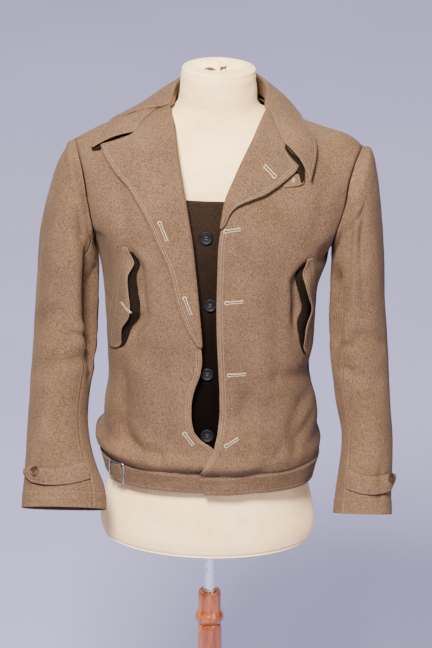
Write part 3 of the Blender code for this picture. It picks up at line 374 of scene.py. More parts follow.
def foldHeight(folds, across, down):
    # each fold: rise * exp(-(aside/width)^2 - (past its ends/width)^2)
    height = 0.0
    for x0, z0, x1, z1, rise, width in folds:
        length = math.hypot(x1 - x0, z1 - z0)
        alongX, alongZ = (x1 - x0) / length, (z1 - z0) / length
        run = (across - x0) * alongX + (down - z0) * alongZ
        aside = (across - x0) * alongZ - (down - z0) * alongX
        past = np.maximum(np.maximum(-run, run - length), 0)
        height = height + rise * np.exp(-(aside / width) ** 2 - (past / width) ** 2)
    return height


def creaseHeight(creases, across, down):
    # a crease follows its points: trough exp(-(d/w)^2) with softer shoulders beside it, fading at both ends
    height = 0.0
    for rise, width, points in creases:
        line = np.array(points, float)
        total = np.linalg.norm(np.diff(line, axis=0), axis=1)
        length = total.sum()
        nearest = np.full(np.broadcast(across, down).shape, 1e9)
        run = np.zeros_like(nearest)
        done = 0.0
        for a, b, size in zip(line[:-1], line[1:], total):
            t = np.clip(((across - a[0]) * (b[0] - a[0]) + (down - a[1]) * (b[1] - a[1])) / size ** 2, 0, 1)
            gap = np.hypot(across - a[0] - t * (b[0] - a[0]), down - a[1] - t * (b[1] - a[1]))
            run = np.where(gap < nearest, done + t * size, run)
            nearest = np.minimum(nearest, gap)
            done += size
        ends = smooth(np.minimum(run, length - run), -0.1 * length, 0.3 * length)
        bell = np.exp(-(nearest / width) ** 2)
        shoulders = np.exp(-((nearest - 2.1 * width) / (1.1 * width)) ** 2)
        height = height + rise * ends * (bell - 0.22 * shoulders)
    return height


def waves(u, v, size, seed):
    # seeded lattice values joined softly: a value noise from -1 to 1
    lattice = np.random.RandomState(seed).uniform(-1, 1, (64, 64))
    a, b = u / size + 17.3, v / size + 9.1
    i, j = np.floor(a).astype(int), np.floor(b).astype(int)
    s, t = a - i, b - j
    s, t = s * s * (3 - 2 * s), t * t * (3 - 2 * t)
    i, j = i % 63, j % 63
    low = lattice[i, j] * (1 - s) + lattice[i + 1, j] * s
    high = lattice[i, j + 1] * (1 - s) + lattice[i + 1, j + 1] * s
    return low * (1 - t) + high * t


def ripples(u, v, seed):
    # hand of worn serge: broad, middle and small waves added
    broad = waves(u, v, 0.062, seed) * 0.0011
    middle = waves(u + 0.4 * v, v, 0.027, seed + 1) * 0.00042
    return broad + middle + waves(u, v - 0.3 * u, 0.011, seed + 2) * 0.00014


def lean(points):
    # all that the form carries leans to +X about the centre of the form's foot
    x, y, z = points[..., 0], points[..., 1], points[..., 2] - formBaseZ
    c, s = math.cos(leanAngle), math.sin(leanAngle)
    return stack(x * c + z * s, y, z * c - x * s + formBaseZ)


def surfaceNormals(grid):
    # the grid's two directions crossed
    return unit(np.cross(np.gradient(grid, axis=1), np.gradient(grid, axis=0)))


def arcs(grid, axis):
    # length along the rows or columns from the first point
    step = np.linalg.norm(np.diff(grid, axis=axis), axis=-1)
    zero = np.zeros_like(np.take(step, [0], axis=axis))
    return np.concatenate([zero, np.cumsum(step, axis=axis)], axis=axis)


# making meshes
def newObject(name, data):
    # an object at the origin, unturned and unscaled
    obj = bpy.data.objects.new(name, data)
    bpy.context.scene.collection.objects.link(obj)
    return obj


def link(name, mesh, material, body, slot):
    # a piece of the part: its material and the body it rides on; the slot is not used
    obj = newObject(name, mesh)
    mesh.materials.append(material)
    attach(obj, body)
    return obj


def meshFrom(name, points, faces, uv=None, wear=None):
    # one mesh from points and faces; a list joins groups of quads and triangles
    mesh = bpy.data.meshes.new(name)
    groups = [np.asarray(group, np.int32) for group in (faces if isinstance(faces, list) else [faces])]
    corners = np.concatenate([group.ravel() for group in groups])
    sizes = np.concatenate([np.full(len(group), group.shape[1], np.int32) for group in groups])
    mesh.vertices.add(len(points))
    mesh.vertices.foreach_set("co", np.asarray(points, np.float32).ravel())
    mesh.loops.add(len(corners))
    mesh.loops.foreach_set("vertex_index", corners)
    mesh.polygons.add(len(sizes))
    mesh.polygons.foreach_set("loop_start", (np.cumsum(sizes) - sizes).astype(np.int32))
    mesh.update(calc_edges=True)
    if uv is not None:
        layer = mesh.uv_layers.new(name="cloth")
        layer.data.foreach_set("uv", np.asarray(uv, np.float32)[corners].ravel())
    if wear is not None:
        mesh.attributes.new("wear", "FLOAT", "POINT").data.foreach_set("value", np.asarray(wear, np.float32))
    mesh.shade_smooth()
    return mesh


def gridQuads(rows, cols, mask=None, wrap=False):
    # four neighbours a face; wrap joins the last column to the first
    number = np.arange(rows * cols).reshape(rows, cols)
    if wrap:
        number = np.concatenate([number, number[:, :1]], axis=1)
    quads = np.stack([number[:-1, :-1], number[:-1, 1:], number[1:, 1:], number[1:, :-1]], axis=-1)
    quads = quads.reshape(-1, 4)
    return quads if mask is None else quads[mask[:-1, :-1].ravel()]


rimBulge = 0.38  # how far the middle of a cut edge stands out, in thicknesses
edgeWear = 0.6  # wear along the outer edge; its middle has 1


def shell(name, face, inner, material, mask=None, wornFrom=0, wornRow=0):
    # outer grid, inner grid and a rim with one more loop, pushed out, so that the edge is round
    rows, cols = face.shape[:2]
    count = rows * cols
    quads = gridQuads(rows, cols, mask)
    outer = face.reshape(-1, 3)
    inside = inner.reshape(-1, 3)
    through = outer - inside
    a, b, c = outer[quads[:, 0]], outer[quads[:, 1]], outer[quads[:, 3]]
    if (np.cross(b - a, c - a) * through[quads[:, 0]]).sum() < 0:
        quads = quads[:, ::-1]
    edges = np.concatenate([quads[:, [i, (i + 1) % 4]] for i in range(4)])
    keys = edges[:, 0].astype(np.int64) * count + edges[:, 1]
    back = edges[:, 1].astype(np.int64) * count + edges[:, 0]
    rim = edges[~np.isin(keys, back)]
    out = np.zeros((count, 3))
    along = outer[rim[:, 1]] - outer[rim[:, 0]]
    push = unit(np.cross(along, unit(through[rim[:, 0]])))
    np.add.at(out, rim[:, 0], push)
    np.add.at(out, rim[:, 1], push)
    thick = np.linalg.norm(through, axis=-1, keepdims=True)
    middle = (outer + inside) / 2 + unit(out) * thick * rimBulge
    points = lean(np.concatenate([outer, inside, middle]))
    flip = quads[:, ::-1] + count
    start, end = rim[:, 0], rim[:, 1]
    upper = np.stack([end, start, start + 2 * count, end + 2 * count], axis=-1)
    lower = np.stack([end + 2 * count, start + 2 * count, start + count, end + count], axis=-1)
    faces = np.concatenate([quads, flip, upper, lower])
    uv = np.stack([arcs(face, 1), arcs(face, 0)], axis=-1).reshape(-1, 2)
    uv = np.concatenate([uv, uv, uv])
    worn = np.zeros(3 * count)
    free = rim[(rim[:, 0] % cols >= wornFrom) & (rim[:, 0] // cols >= wornRow), 0]
    worn[free], worn[free + 2 * count] = edgeWear, 1.0
    keep = np.unique(faces)
    place = np.zeros(3 * count, np.int64)
    place[keep] = np.arange(len(keep))
    mesh = meshFrom(name, points[keep], place[faces], uv[keep], worn[keep])
    obj = link(name, mesh, material, "figure", "serge")
    obj["cutArea"] = float(np.linalg.norm(np.cross(b - a, c - a), axis=-1).sum())
    return obj


def declare(obj, flat, held, restsOn, nodes):
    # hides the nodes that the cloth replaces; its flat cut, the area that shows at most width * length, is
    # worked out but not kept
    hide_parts(*nodes)
    min(obj["cutArea"], flat[0] * flat[1])
    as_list(restsOn)


def tubes(name, paths, radii, sides, material, body="figure", slot="serge", loop=False):
    # many short tubes of one piece: ring k of a path is centre + r (cos t across + sin t up);
    # a loop joins its last ring to its first, other ends close on their middle
    paths = np.asarray(paths, float)
    count, rings = paths.shape[:2]
    ahead = unit(np.roll(paths, -1, axis=1) - np.roll(paths, 1, axis=1) if loop else np.gradient(paths, axis=1))
    up = np.where(np.abs(ahead[..., 2:3]) > 0.8, np.array([1.0, 0, 0]), np.array([0, 0, 1.0]))
    across = unit(np.cross(ahead, up))
    above = np.cross(across, ahead)
    turn = np.linspace(0, 2 * math.pi, sides, endpoint=False)
    radii = np.broadcast_to(np.asarray(radii, float), (count, rings))
    ring = across[:, :, None] * np.cos(turn)[:, None] + above[:, :, None] * np.sin(turn)[:, None]
    points = paths[:, :, None] + ring * radii[..., None, None]
    number = np.arange(count * rings * sides).reshape(count, rings, sides)
    after = np.roll(number, -1, axis=2)
    if loop:
        further, furtherAfter = np.roll(number, -1, axis=1), np.roll(after, -1, axis=1)
        quads = np.stack([number, after, furtherAfter, further], axis=-1).reshape(-1, 4)
        return link(name, meshFrom(name, points.reshape(-1, 3), quads), material, body, slot)
    quads = np.stack([number[:, :-1], after[:, :-1], after[:, 1:], number[:, 1:]], axis=-1).reshape(-1, 4)
    middles = (number.size + np.arange(count))[:, None] + 0 * number[:, 0]
    starts = np.stack([middles, after[:, 0], number[:, 0]], axis=-1).reshape(-1, 3)
    ends = np.stack([middles + count, number[:, -1], after[:, -1]], axis=-1).reshape(-1, 3)
    points = np.concatenate([points.reshape(-1, 3), paths[:, 0], paths[:, -1]])
    return link(name, meshFrom(name, points, [quads, np.concatenate([starts, ends])]), material, body, slot)


def turnedPiece(name, profile, material, slot, body="stand", sides=96, place=None):
    # revolve: radius and height pairs listed from the top down; ends on the axis close to a point
    profile = np.array(profile, float)
    turn = np.linspace(0, 2 * math.pi, sides, endpoint=False)
    closed = np.allclose(profile[0], profile[-1])
    rows = profile[:-1] if closed else profile
    points = stack(rows[:, :1] * np.cos(turn), rows[:, :1] * np.sin(turn), rows[:, 1:2] + 0 * turn)
    number = np.arange(len(rows) * sides).reshape(len(rows), sides)
    lower = np.roll(number, -1, axis=0) if closed else number[1:]
    upper = number if closed else number[:-1]
    faces = np.stack([upper, lower, np.roll(lower, -1, axis=1), np.roll(upper, -1, axis=1)], axis=-1)
    points = points.reshape(-1, 3)
    if place is not None:
        centre, normal = place
        frameX = unit(np.cross(normal, np.array([0.0, 0.3, 1.0])))
        frameY = np.cross(normal, frameX)
        points = centre + points[:, :1] * frameX + points[:, 1:2] * frameY + points[:, 2:3] * normal
    obj = link(name, meshFrom(name, points, faces.reshape(-1, 4)), material, body, slot)
    mend(obj.data, 38)
    return obj


def mend(mesh, sharp, fill=False):
    # fills open rings or joins the points at poles, turns all faces outward, keeps corners above this angle
    work = bmesh.new()
    work.from_mesh(mesh)
    if fill:
        bmesh.ops.holes_fill(work, edges=[edge for edge in work.edges if edge.is_boundary], sides=0)
    else:
        bmesh.ops.remove_doubles(work, verts=work.verts, dist=0.000002)
        bmesh.ops.dissolve_degenerate(work, edges=work.edges, dist=0.000001)
    bmesh.ops.recalc_face_normals(work, faces=work.faces)
    work.to_mesh(mesh)
    work.free()
    mesh.shade_smooth()
    mesh.set_sharp_from_angle(angle=math.radians(sharp))


def refined(profile, step):
    # points along a profile no further apart than step, with its corners kept
    rows = [profile[0]]
    for a, b in zip(profile[:-1], profile[1:]):
        pieces = max(1, int(math.ceil(math.hypot(b[0] - a[0], b[1] - a[1]) / step)))
        rows += [tuple(a[k] + (b[k] - a[k]) * i / pieces for k in (0, 1)) for i in range(1, pieces + 1)]
    return rows


# sewing
def besideEdge(grid, rows, edge, inward, distance):
    # on each of these rows, the point at one distance from the edge's column
    places = []
    for r in rows:
        line = grid[r, edge::inward][:26]
        run = arcs(line[:, :3], 0)
        places.append([np.interp(distance, run, line[:, k]) for k in range(6)])
    return np.array(places)


def withNormals(face, inner):
    # six numbers a place: the outer point and the direction out of the cloth
    return np.concatenate([face, unit(face - inner)], axis=-1)


def stitches(line, pitch=0.004, long=0.0029, rise=0.0005):
    # short arcs along a line of places: out and back in over each stitch, sin(pi t) high
    run = arcs(line[:, :3], 0)
    begin = (np.arange(int(run[-1] / pitch)) + 0.2) * pitch
    t = np.linspace(0, 1, 5)
    at = begin[:, None] + long * t
    places = np.stack([np.interp(at, run, line[:, k]) for k in range(6)], axis=-1)
    return lean(places[..., :3] + places[..., 3:] * (rise * np.sin(math.pi * t) - 0.0001)[None, :, None])


def facing(grid, centre):
    # the grid's places with their normals, turned away from the centre
    normals = surfaceNormals(grid)
    return np.concatenate([grid, normals * np.sign((normals * (grid - centre)).sum())], axis=-1)


class ClothPlaces:
    # looks up a place and its outward direction from x and z among a cloth's own points
    def __init__(self, grid):
        # a tree of the cloth's points seen from the front
        self.rows = grid.reshape(-1, 6)
        self.tree = KDTree(len(self.rows))
        for i, row in enumerate(self.rows):
            self.tree.insert((row[0], 0.0, row[2]), i)
        self.tree.balance()

    def at(self, x, z):
        # the five nearest, each weighted by 1 / (distance + 0.4 mm)^2
        near = self.tree.find_n((x, 0.0, z), 5)
        weight = np.array([1 / (distance + 0.0004) ** 2 for _, _, distance in near])
        mixed = (self.rows[[i for _, i, _ in near]] * weight[:, None]).sum(0) / weight.sum()
        return np.array([x, mixed[1], z]), unit(mixed[3:])


def buttonhole(name, cloth, x, z, dx, dz, wide):
    # a keyhole: eyelet at the start, two sides and a bar; dense whip stitches lie across its edge
    lift, eyeAt = 0.0006, 0.0026
    length = math.hypot(dx, dz)
    ux, uz = dx / length, dz / length
    slit, eye = 0.0014 * wide, 0.0023 * wide

    def outline(grow, count):
        # a ring open towards the slit, then the slit's lower and upper side
        turn = np.linspace(math.radians(28), math.radians(332), count // 3)
        ring = (eye + grow) * np.stack([np.cos(turn), np.sin(turn)], axis=-1) + [eyeAt - length / 2, 0]
        side = np.linspace(-length / 2 + eyeAt + eye * 0.9, length / 2 + grow, count // 3)
        low = np.stack([side, np.full(len(side), -slit - grow)], axis=-1)
        high = np.stack([side[::-1], np.full(len(side), slit + grow)], axis=-1)
        return np.concatenate([ring, low, high, ring[:1]])

    def placed(flat, rise):
        # turned to the hole's direction and put on the cloth
        found = [cloth.at(x + ux * u - uz * v, z + uz * u + ux * v) for u, v in flat]
        return np.array([p + n * rise for p, n in found])

    inside, outside = outline(0.0, 96), outline(0.0013 * wide, 96)
    near, far = placed(inside, lift + 0.0001), placed(outside, lift - 0.0003)
    middle = (near + far) / 2 + (near - far) * 0.1 + np.array([0, -0.0003, 0])
    tubes(name + "_whip", lean(np.stack([near, middle, far], axis=1)), 0.00027 * wide, 5, creamThread)
    purl = placed(inside[:-1], lift + 0.0002)
    tubes(name + "_purl", lean(purl)[None], 0.00034 * wide, 6, creamThread, loop=True)
    # painted shade: a dark tube along the slit stands in for the shade in the cut
    line = np.linspace(-length / 2 + 0.003, length / 2 - 0.001, 24)
    dark = placed(np.stack([line, 0 * line], axis=-1), lift - 0.0003)
    tubes(name + "_slit_shade", lean(dark)[None], 0.0011 * wide, 6, darkThreadAndShade)


# materials: all procedural, on object coordinates or the cloth's own UV in metres
def startMaterial(name, rough, metal=0.0, **sockets):
    # a principled shader with these sockets set, and the object's coordinates
    material = bpy.data.materials.new(name)
    material.use_nodes = True
    tree = material.node_tree
    shader = tree.nodes["Principled BSDF"]
    shader.inputs["Roughness"].default_value = rough
    shader.inputs["Metallic"].default_value = metal
    for socket, value in sockets.items():
        shader.inputs[socket.replace("_", " ")].default_value = value
    return material, tree, shader, node(tree, "ShaderNodeTexCoord").outputs["Object"]


def node(tree, kind, inputs=(), **settings):
    # one shader node; an input is linked to a socket or set to a value
    made = tree.nodes.new(kind)
    for key, value in settings.items():
        setattr(made, key, value)
    for key, value in dict(inputs).items():
        if isinstance(value, bpy.types.NodeSocket):
            tree.links.new(value, made.inputs[key])
        else:
            made.inputs[key].default_value = value
    return made


def noise(tree, vector, scale, detail=2.0, rough=0.5):
    # grey clouds, scale of them to a metre
    inputs = {"Vector": vector, "Scale": scale, "Detail": detail, "Roughness": rough}
    return node(tree, "ShaderNodeTexNoise", inputs).outputs["Fac"]


def ramp(tree, value, stops):
    # a grey value becomes a colour between the stops on each side of it
    made = node(tree, "ShaderNodeValToRGB", {"Fac": value})
    bar = made.color_ramp
    bar.elements[0].position, bar.elements[0].color = stops[0][0], (*stops[0][1], 1)
    bar.elements[1].position, bar.elements[1].color = stops[-1][0], (*stops[-1][1], 1)
    for place, colour in stops[1:-1]:
        bar.elements.new(place).color = (*colour, 1)
    return made.outputs["Color"]


def blendColours(tree, amount, first, second, mode="MIX"):
    # first * (1 - amount) + amount * (second, or first * second where the mode is MULTIPLY)
    inputs = {0: amount, 6: first, 7: second}
    return node(tree, "ShaderNodeMix", inputs, data_type="RGBA", blend_type=mode).outputs[2]


def maths(tree, operation, first, second):
    # one sum or product of two grey values
    return node(tree, "ShaderNodeMath", {0: first, 1: second}, operation=operation).outputs[0]


def relief(tree, shader, height, strength, distance):
    # normals bent by the slope of the height
    bump = node(tree, "ShaderNodeBump", {"Height": height, "Strength": strength, "Distance": distance})
    tree.links.new(bump.outputs["Normal"], shader.inputs["Normal"])


def greys(tree, value, *stops):
    # a ramp of greys: place, grey
    return ramp(tree, value, [(place, (grey,) * 3) for place, grey in stops])


def woolMaterial(name, dark, light, blotch, fuzz=0.07, paintedShadeHeights=None):
    # speckled yarns of two browns, broad uneven dye, a twill line and a felted nap; given two heights, painted
    # shade darkens it towards the bottom
    material, tree, shader, place = startMaterial(
        name, 0.93, Sheen_Weight=fuzz, Sheen_Roughness=0.45, Sheen_Tint=(0.62, 0.47, 0.32, 1),
        Specular_IOR_Level=0.22 if fuzz else 0.03)
    flat = node(tree, "ShaderNodeUVMap", uv_map="cloth").outputs["UV"]
    fine = noise(tree, place, 820, 2.0, 0.6)
    coarse = noise(tree, place, 470, 2.0, 0.55)
    yarn = maths(tree, "ADD", maths(tree, "MULTIPLY", fine, 0.62), maths(tree, "MULTIPLY", coarse, 0.38))
    mixed = [a * 0.58 + b * 0.42 for a, b in zip(dark, light)]
    colour = ramp(tree, yarn, [(0.34, dark), (0.5, mixed), (0.65, light)])
    fleck = noise(tree, place, 1350, 1.0)
    colour = blendColours(tree, maths(tree, "MULTIPLY", maths(tree, "GREATER_THAN", fleck, 0.6), 0.4),
                          colour, (*[v * 1.75 for v in light], 1))
    broad = noise(tree, place, 15, 3.0, 0.55)
    shade = greys(tree, broad, (0.3, 1 - blotch), (0.7, 1 + blotch))
    colour = blendColours(tree, 1.0, colour, shade, "MULTIPLY")
    wear = node(tree, "ShaderNodeAttribute", attribute_name="wear").outputs["Fac"]
    colour = blendColours(tree, maths(tree, "MULTIPLY", wear, 0.34), colour, (*[v * 1.5 for v in light], 1))
    # painted shade: the colour darkens from the upper height down to the lower one
    if paintedShadeHeights:
        height = node(tree, "ShaderNodeSeparateXYZ", {"Vector": place}).outputs["Z"]
        inputs = {"Value": height, "From Min": paintedShadeHeights[0], "From Max": paintedShadeHeights[1]}
        deep = node(tree, "ShaderNodeMapRange", inputs).outputs["Result"]
        shade = greys(tree, deep, (0.0, 0.06), (0.45, 0.2), (1.0, 0.85))
        colour = blendColours(tree, 1.0, colour, shade, "MULTIPLY")
    tree.links.new(colour, shader.inputs["Base Color"])
    twill = node(tree, "ShaderNodeTexWave", {"Vector": flat, "Scale": 270, "Distortion": 1.2, "Detail": 1.0},
                 wave_type="BANDS", bands_direction="DIAGONAL").outputs["Fac"]
    nap = noise(tree, place, 820, 4.0, 0.7)
    pill = noise(tree, place, 210, 2.0, 0.5)
    height = maths(tree, "ADD", maths(tree, "MULTIPLY", twill, 0.22), nap)
    height = maths(tree, "ADD", height, maths(tree, "MULTIPLY", pill, 0.9))
    relief(tree, shader, height, 0.42, 0.0011)
    return material


def canvasMaterial():
    # cream cover: fine plain weave, faint yellow stains and a soft grey hand mark here and there
    material, tree, shader, place = startMaterial("canvas_cream", 0.82, Sheen_Weight=0.12, Sheen_Roughness=0.5)
    stain = noise(tree, place, 9, 4.0, 0.6)
    colour = ramp(tree, stain, [(0.3, (0.95, 0.6, 0.26)), (0.52, (1.0, 0.705, 0.345)),
                                (0.72, (1.0, 0.745, 0.4))])
    mark = noise(tree, place, 38, 3.0, 0.7)
    shade = ramp(tree, mark, [(0.28, (0.9, 0.86, 0.8)), (0.5, (1, 1, 1))])
    colour = blendColours(tree, 1.0, colour, shade, "MULTIPLY")
    tree.links.new(colour, shader.inputs["Base Color"])
    weave = noise(tree, place, 900, 2.0, 0.6)
    slub = noise(tree, place, 160, 2.0, 0.5)
    height = maths(tree, "ADD", weave, maths(tree, "MULTIPLY", slub, 0.8))
    relief(tree, shader, height, 0.4, 0.0009)
    return material


def woodMaterial():
    # varnished red-brown wood: long streaks down the grain, finer pores, an uneven gloss
    material, tree, shader, place = startMaterial("varnished_wood", 0.3, Coat_Weight=0.55, Coat_Roughness=0.12)
    long = node(tree, "ShaderNodeMapping", {"Vector": place, "Scale": (1.0, 1.0, 0.07)}).outputs["Vector"]
    streak = noise(tree, long, 95, 5.0, 0.62)
    colour = ramp(tree, streak, [(0.3, (0.1, 0.022, 0.006)), (0.5, (0.27, 0.062, 0.014)),
                                 (0.7, (0.44, 0.13, 0.03))])
    pore = noise(tree, long, 620, 2.0)
    shade = ramp(tree, pore, [(0.34, (0.55, 0.5, 0.5)), (0.46, (1, 1, 1))])
    colour = blendColours(tree, 1.0, colour, shade, "MULTIPLY")
    tree.links.new(colour, shader.inputs["Base Color"])
    gloss = greys(tree, noise(tree, place, 40, 3.0), (0.3, 0.24), (0.7, 0.42))
    tree.links.new(gloss, shader.inputs["Roughness"])
    relief(tree, shader, pore, 0.12, 0.0004)
    return material


def metalMaterial(name, colour, rough, wear):
    # plated steel: fine drawn lines, a duller patch here and there
    material, tree, shader, place = startMaterial(name, rough, 1.0)
    patch = noise(tree, place, 120, 4.0, 0.6)
    worn = [v * (1 - wear) for v in colour]
    tree.links.new(ramp(tree, patch, [(0.32, worn), (0.55, colour)]), shader.inputs["Base Color"])
    tree.links.new(greys(tree, patch, (0.3, rough + 0.16), (0.6, rough)), shader.inputs["Roughness"])
    lines = node(tree, "ShaderNodeMapping", {"Vector": place, "Scale": (1.0, 1.0, 14.0)}).outputs["Vector"]
    relief(tree, shader, noise(tree, lines, 300, 2.0), 0.05, 0.0002)
    return material


def plasticMaterial(name, dark, light, rough):
    # moulded button: clouded colour, fine scratches
    material, tree, shader, place = startMaterial(name, rough, Specular_IOR_Level=0.13)
    cloud = noise(tree, place, 230, 3.0, 0.6)
    tree.links.new(ramp(tree, cloud, [(0.35, dark), (0.66, light)]), shader.inputs["Base Color"])
    scratch = noise(tree, place, 1500, 2.0, 0.6)
    tree.links.new(greys(tree, scratch, (0.3, rough - 0.08), (0.7, rough + 0.14)), shader.inputs["Roughness"])
    relief(tree, shader, scratch, 0.08, 0.0002)
    return material


def threadMaterial(name, dark, light):
    # twisted thread: the colour goes along its ply
    material, tree, shader, place = startMaterial(name, 0.75, Sheen_Weight=0.15)
    ply = noise(tree, place, 1400, 2.0, 0.6)
    tree.links.new(ramp(tree, ply, [(0.35, dark), (0.65, light)]), shader.inputs["Base Color"])
    relief(tree, shader, ply, 0.3, 0.0003)
    return material


serge = woolMaterial("serge_brown", (0.031, 0.0148, 0.0064), (0.172, 0.099, 0.0545), 0.15)
# painted shade: a near-black copy of the serge for the under flap, darker still towards its foot
sergeWithPaintedShade = woolMaterial("serge_painted_shade", (0.01, 0.006, 0.004), (0.034, 0.02, 0.013), 0.08, 0.0, (0.93, 1.32))
# painted shade: a near-black cloth for sheets laid where openings lie in shade
paintedShadeCloth = woolMaterial("painted_shade_cloth", (0.004, 0.003, 0.002), (0.014, 0.009, 0.006), 0.08, 0.0)
canvas = canvasMaterial()
wood = woodMaterial()
chrome = metalMaterial("chrome", (0.8, 0.8, 0.8), 0.12, 0.25)
nickel = metalMaterial("nickel", (0.52, 0.52, 0.5), 0.3, 0.45)
darkPlastic = plasticMaterial("button_dark", (0.004, 0.004, 0.005), (0.011, 0.011, 0.014), 0.52)
brownPlastic = plasticMaterial("button_brown", (0.02, 0.01, 0.006), (0.07, 0.034, 0.018), 0.36)
khakiThread = threadMaterial("thread_khaki", (0.185, 0.115, 0.07), (0.3, 0.205, 0.132))
brownThread = threadMaterial("thread_brown", (0.115, 0.066, 0.039), (0.2, 0.125, 0.078))
creamThread = threadMaterial("thread_cream", (0.4, 0.28, 0.155), (0.58, 0.43, 0.26))
# dark thread for the buttons, also painted shade in the buttonhole slits and the neck's gathers
darkThreadAndShade = threadMaterial("thread_dark_and_painted_shade", (0.02, 0.012, 0.008), (0.06, 0.036, 0.022))
print("materials made")


# folds: the CAD's large ones, then the photograph's smaller creases in the same places
frontFolds = [
    (-0.186, 1.255, -0.169, 1.15, -0.005, 0.012),
    (-0.118, 1.05, -0.105, 0.92, 0.003, 0.014),
    (-0.145, 1.03, -0.138, 0.925, -0.003, 0.012),
    (0.153, 1.03, 0.105, 1.045, -0.0035, 0.014),
    (0.095, 1.015, 0.115, 0.92, 0.0028, 0.014),
    (0.17, 1.245, 0.164, 1.15, -0.004, 0.011),
]
frontCreases = [
    (-0.0125, 0.0075, [(-0.1396, 1.253), (-0.1259, 1.2342), (-0.1211, 1.2233), (-0.1189, 1.1869),
                       (-0.1141, 1.149), (-0.1274, 1.1164), (-0.1403, 1.0873)]),
    (-0.012, 0.007, [(0.1402, 1.2345), (0.1318, 1.221), (0.1241, 1.2092), (0.1272, 1.1688),
                       (0.127, 1.1323), (0.1258, 1.119)]),
    (-0.0032, 0.008, [(0.164, 0.972), (0.1441, 0.9428), (0.1253, 0.92)]),
    (-0.002, 0.007, [(0.0622, 1.0049), (0.0625, 0.9381)]),
    (-0.0032, 0.0085, [(-0.1428, 1.074), (-0.1473, 1.0366), (-0.1433, 0.9906), (-0.1375, 0.9442)]),
    (0.0026, 0.011, [(-0.11, 1.1228), (-0.107, 1.0376), (-0.0992, 0.9549)]),
    (-0.0022, 0.0045, [(-0.134, 0.9286), (-0.1288, 0.911)]),
    (-0.0022, 0.0045, [(-0.1178, 0.9236), (-0.1142, 0.9052)]),
    (-0.002, 0.0045, [(-0.0826, 0.921), (-0.0775, 0.9037)]),
    (-0.002, 0.0045, [(-0.0587, 0.9191), (-0.0568, 0.9012)]),
    (-0.0036, 0.007, [(0.1832, 1.2113), (0.17, 1.225), (0.1576, 1.2378)]),
    (-0.0024, 0.009, [(-0.1566, 1.3568), (-0.146, 1.3065), (-0.1325, 1.2529)]),
    (-0.0018, 0.01, [(0.17, 1.37), (0.156, 1.31), (0.148, 1.25)]),
    (0.0016, 0.012, [(0.07, 1.25), (0.076, 1.13), (0.07, 1.03)]),
    (-0.0014, 0.01, [(0.095, 1.15), (0.1, 1.06), (0.088, 0.97)]),
    (-0.0016, 0.009, [(-0.078, 1.09), (-0.076, 1.0), (-0.07, 0.93)]),
    (-0.002, 0.006, [(0.108, 0.933), (0.102, 0.908)]),
    (-0.0018, 0.006, [(0.136, 0.925), (0.13, 0.906)]),
    (-0.006, 0.011, [(-0.156, 0.97), (-0.138, 0.933), (-0.108, 0.914), (-0.06, 0.906)]),
    (-0.0045, 0.01, [(-0.03, 0.96), (-0.02, 0.933), (0.005, 0.918)]),
    (-0.004, 0.012, [(0.15, 1.01), (0.133, 0.97), (0.126, 0.93)]),
    (0.003, 0.012, [(-0.09, 1.23), (-0.082, 1.15), (-0.09, 1.08)]),
    (-0.0036, 0.01, [(0.056, 1.04), (0.048, 0.985), (0.06, 0.935)]),
]
backFolds = [
    (-0.15, 1.24, -0.115, 1.0, -0.0045, 0.014),
    (0.145, 1.25, 0.105, 0.99, -0.004, 0.015),
    (-0.06, 1.06, -0.055, 0.915, 0.0035, 0.016),
    (0.05, 1.1, 0.062, 0.92, -0.0032, 0.015),
]
backCreases = [
    (-0.003, 0.009, [(-0.178, 1.25), (-0.156, 1.205), (-0.148, 1.13)]),
    (-0.0028, 0.009, [(0.174, 1.245), (0.15, 1.19), (0.144, 1.12)]),
    (0.0022, 0.011, [(-0.1, 1.15), (-0.09, 1.05), (-0.096, 0.94)]),
    (-0.0024, 0.008, [(-0.025, 1.01), (-0.018, 0.95), (-0.024, 0.905)]),
    (-0.0022, 0.007, [(0.095, 0.99), (0.099, 0.94), (0.092, 0.903)]),
    (0.002, 0.01, [(0.015, 1.23), (0.022, 1.13), (0.015, 1.02)]),
    (-0.0016, 0.01, [(-0.11, 1.35), (-0.03, 1.326), (0.05, 1.333), (0.115, 1.352)]),
    (-0.002, 0.005, [(-0.13, 0.93), (-0.126, 0.904)]),
    (-0.002, 0.005, [(0.13, 0.928), (0.134, 0.904)]),
]
sleeveFoldsRight = [
    (-12, 0.07, -30, 0.42, -0.006, 0.013),
    (10, 0.44, 60, 0.5, -0.0035, 0.014),
    (-25, 0.56, 40, 0.6, -0.0035, 0.015),
    (150, 0.42, 200, 0.56, -0.004, 0.015),
    (110, 0.64, 190, 0.6, 0.003, 0.015),
    (20, 0.66, 30, 0.79, 0.0025, 0.014),
]
sleeveFoldsLeft = [
    (-15, 0.08, -28, 0.38, -0.0055, 0.013),
    (20, 0.1, 5, 0.24, -0.003, 0.014),
    (0, 0.48, 55, 0.53, -0.0035, 0.014),
    (-25, 0.6, 30, 0.64, -0.0035, 0.015),
    (150, 0.4, 205, 0.54, -0.004, 0.015),
    (120, 0.62, 200, 0.66, 0.003, 0.015),
]
# creases of the sleeves: height, half width, points of degrees round the arm and share of the way down
sleeveCreasesRight = [
    (-0.02, 0.012, [(-40, 0.07), (-44, 0.22), (-48, 0.36), (-54, 0.54)]),
    (-0.024, 0.02, [(-62, 0.12), (-66, 0.28), (-70, 0.42), (-74, 0.6)]),
    (-0.003, 0.008, [(-60, 0.5), (-30, 0.485), (5, 0.5)]),
    (-0.0026, 0.008, [(-70, 0.575), (-35, 0.56), (-5, 0.575)]),
    (-0.0022, 0.008, [(60, 0.25), (80, 0.4), (72, 0.56)]),
    (0.0018, 0.009, [(35, 0.18), (30, 0.34), (42, 0.5)]),
    (-0.0024, 0.008, [(180, 0.2), (165, 0.34), (175, 0.46)]),
    (-0.003, 0.008, [(215, 0.48), (240, 0.5), (270, 0.49)]),
    (-0.0026, 0.0075, [(220, 0.56), (250, 0.57), (280, 0.56)]),
    (-0.002, 0.008, [(30, 0.8), (45, 0.88), (40, 0.97)]),
]
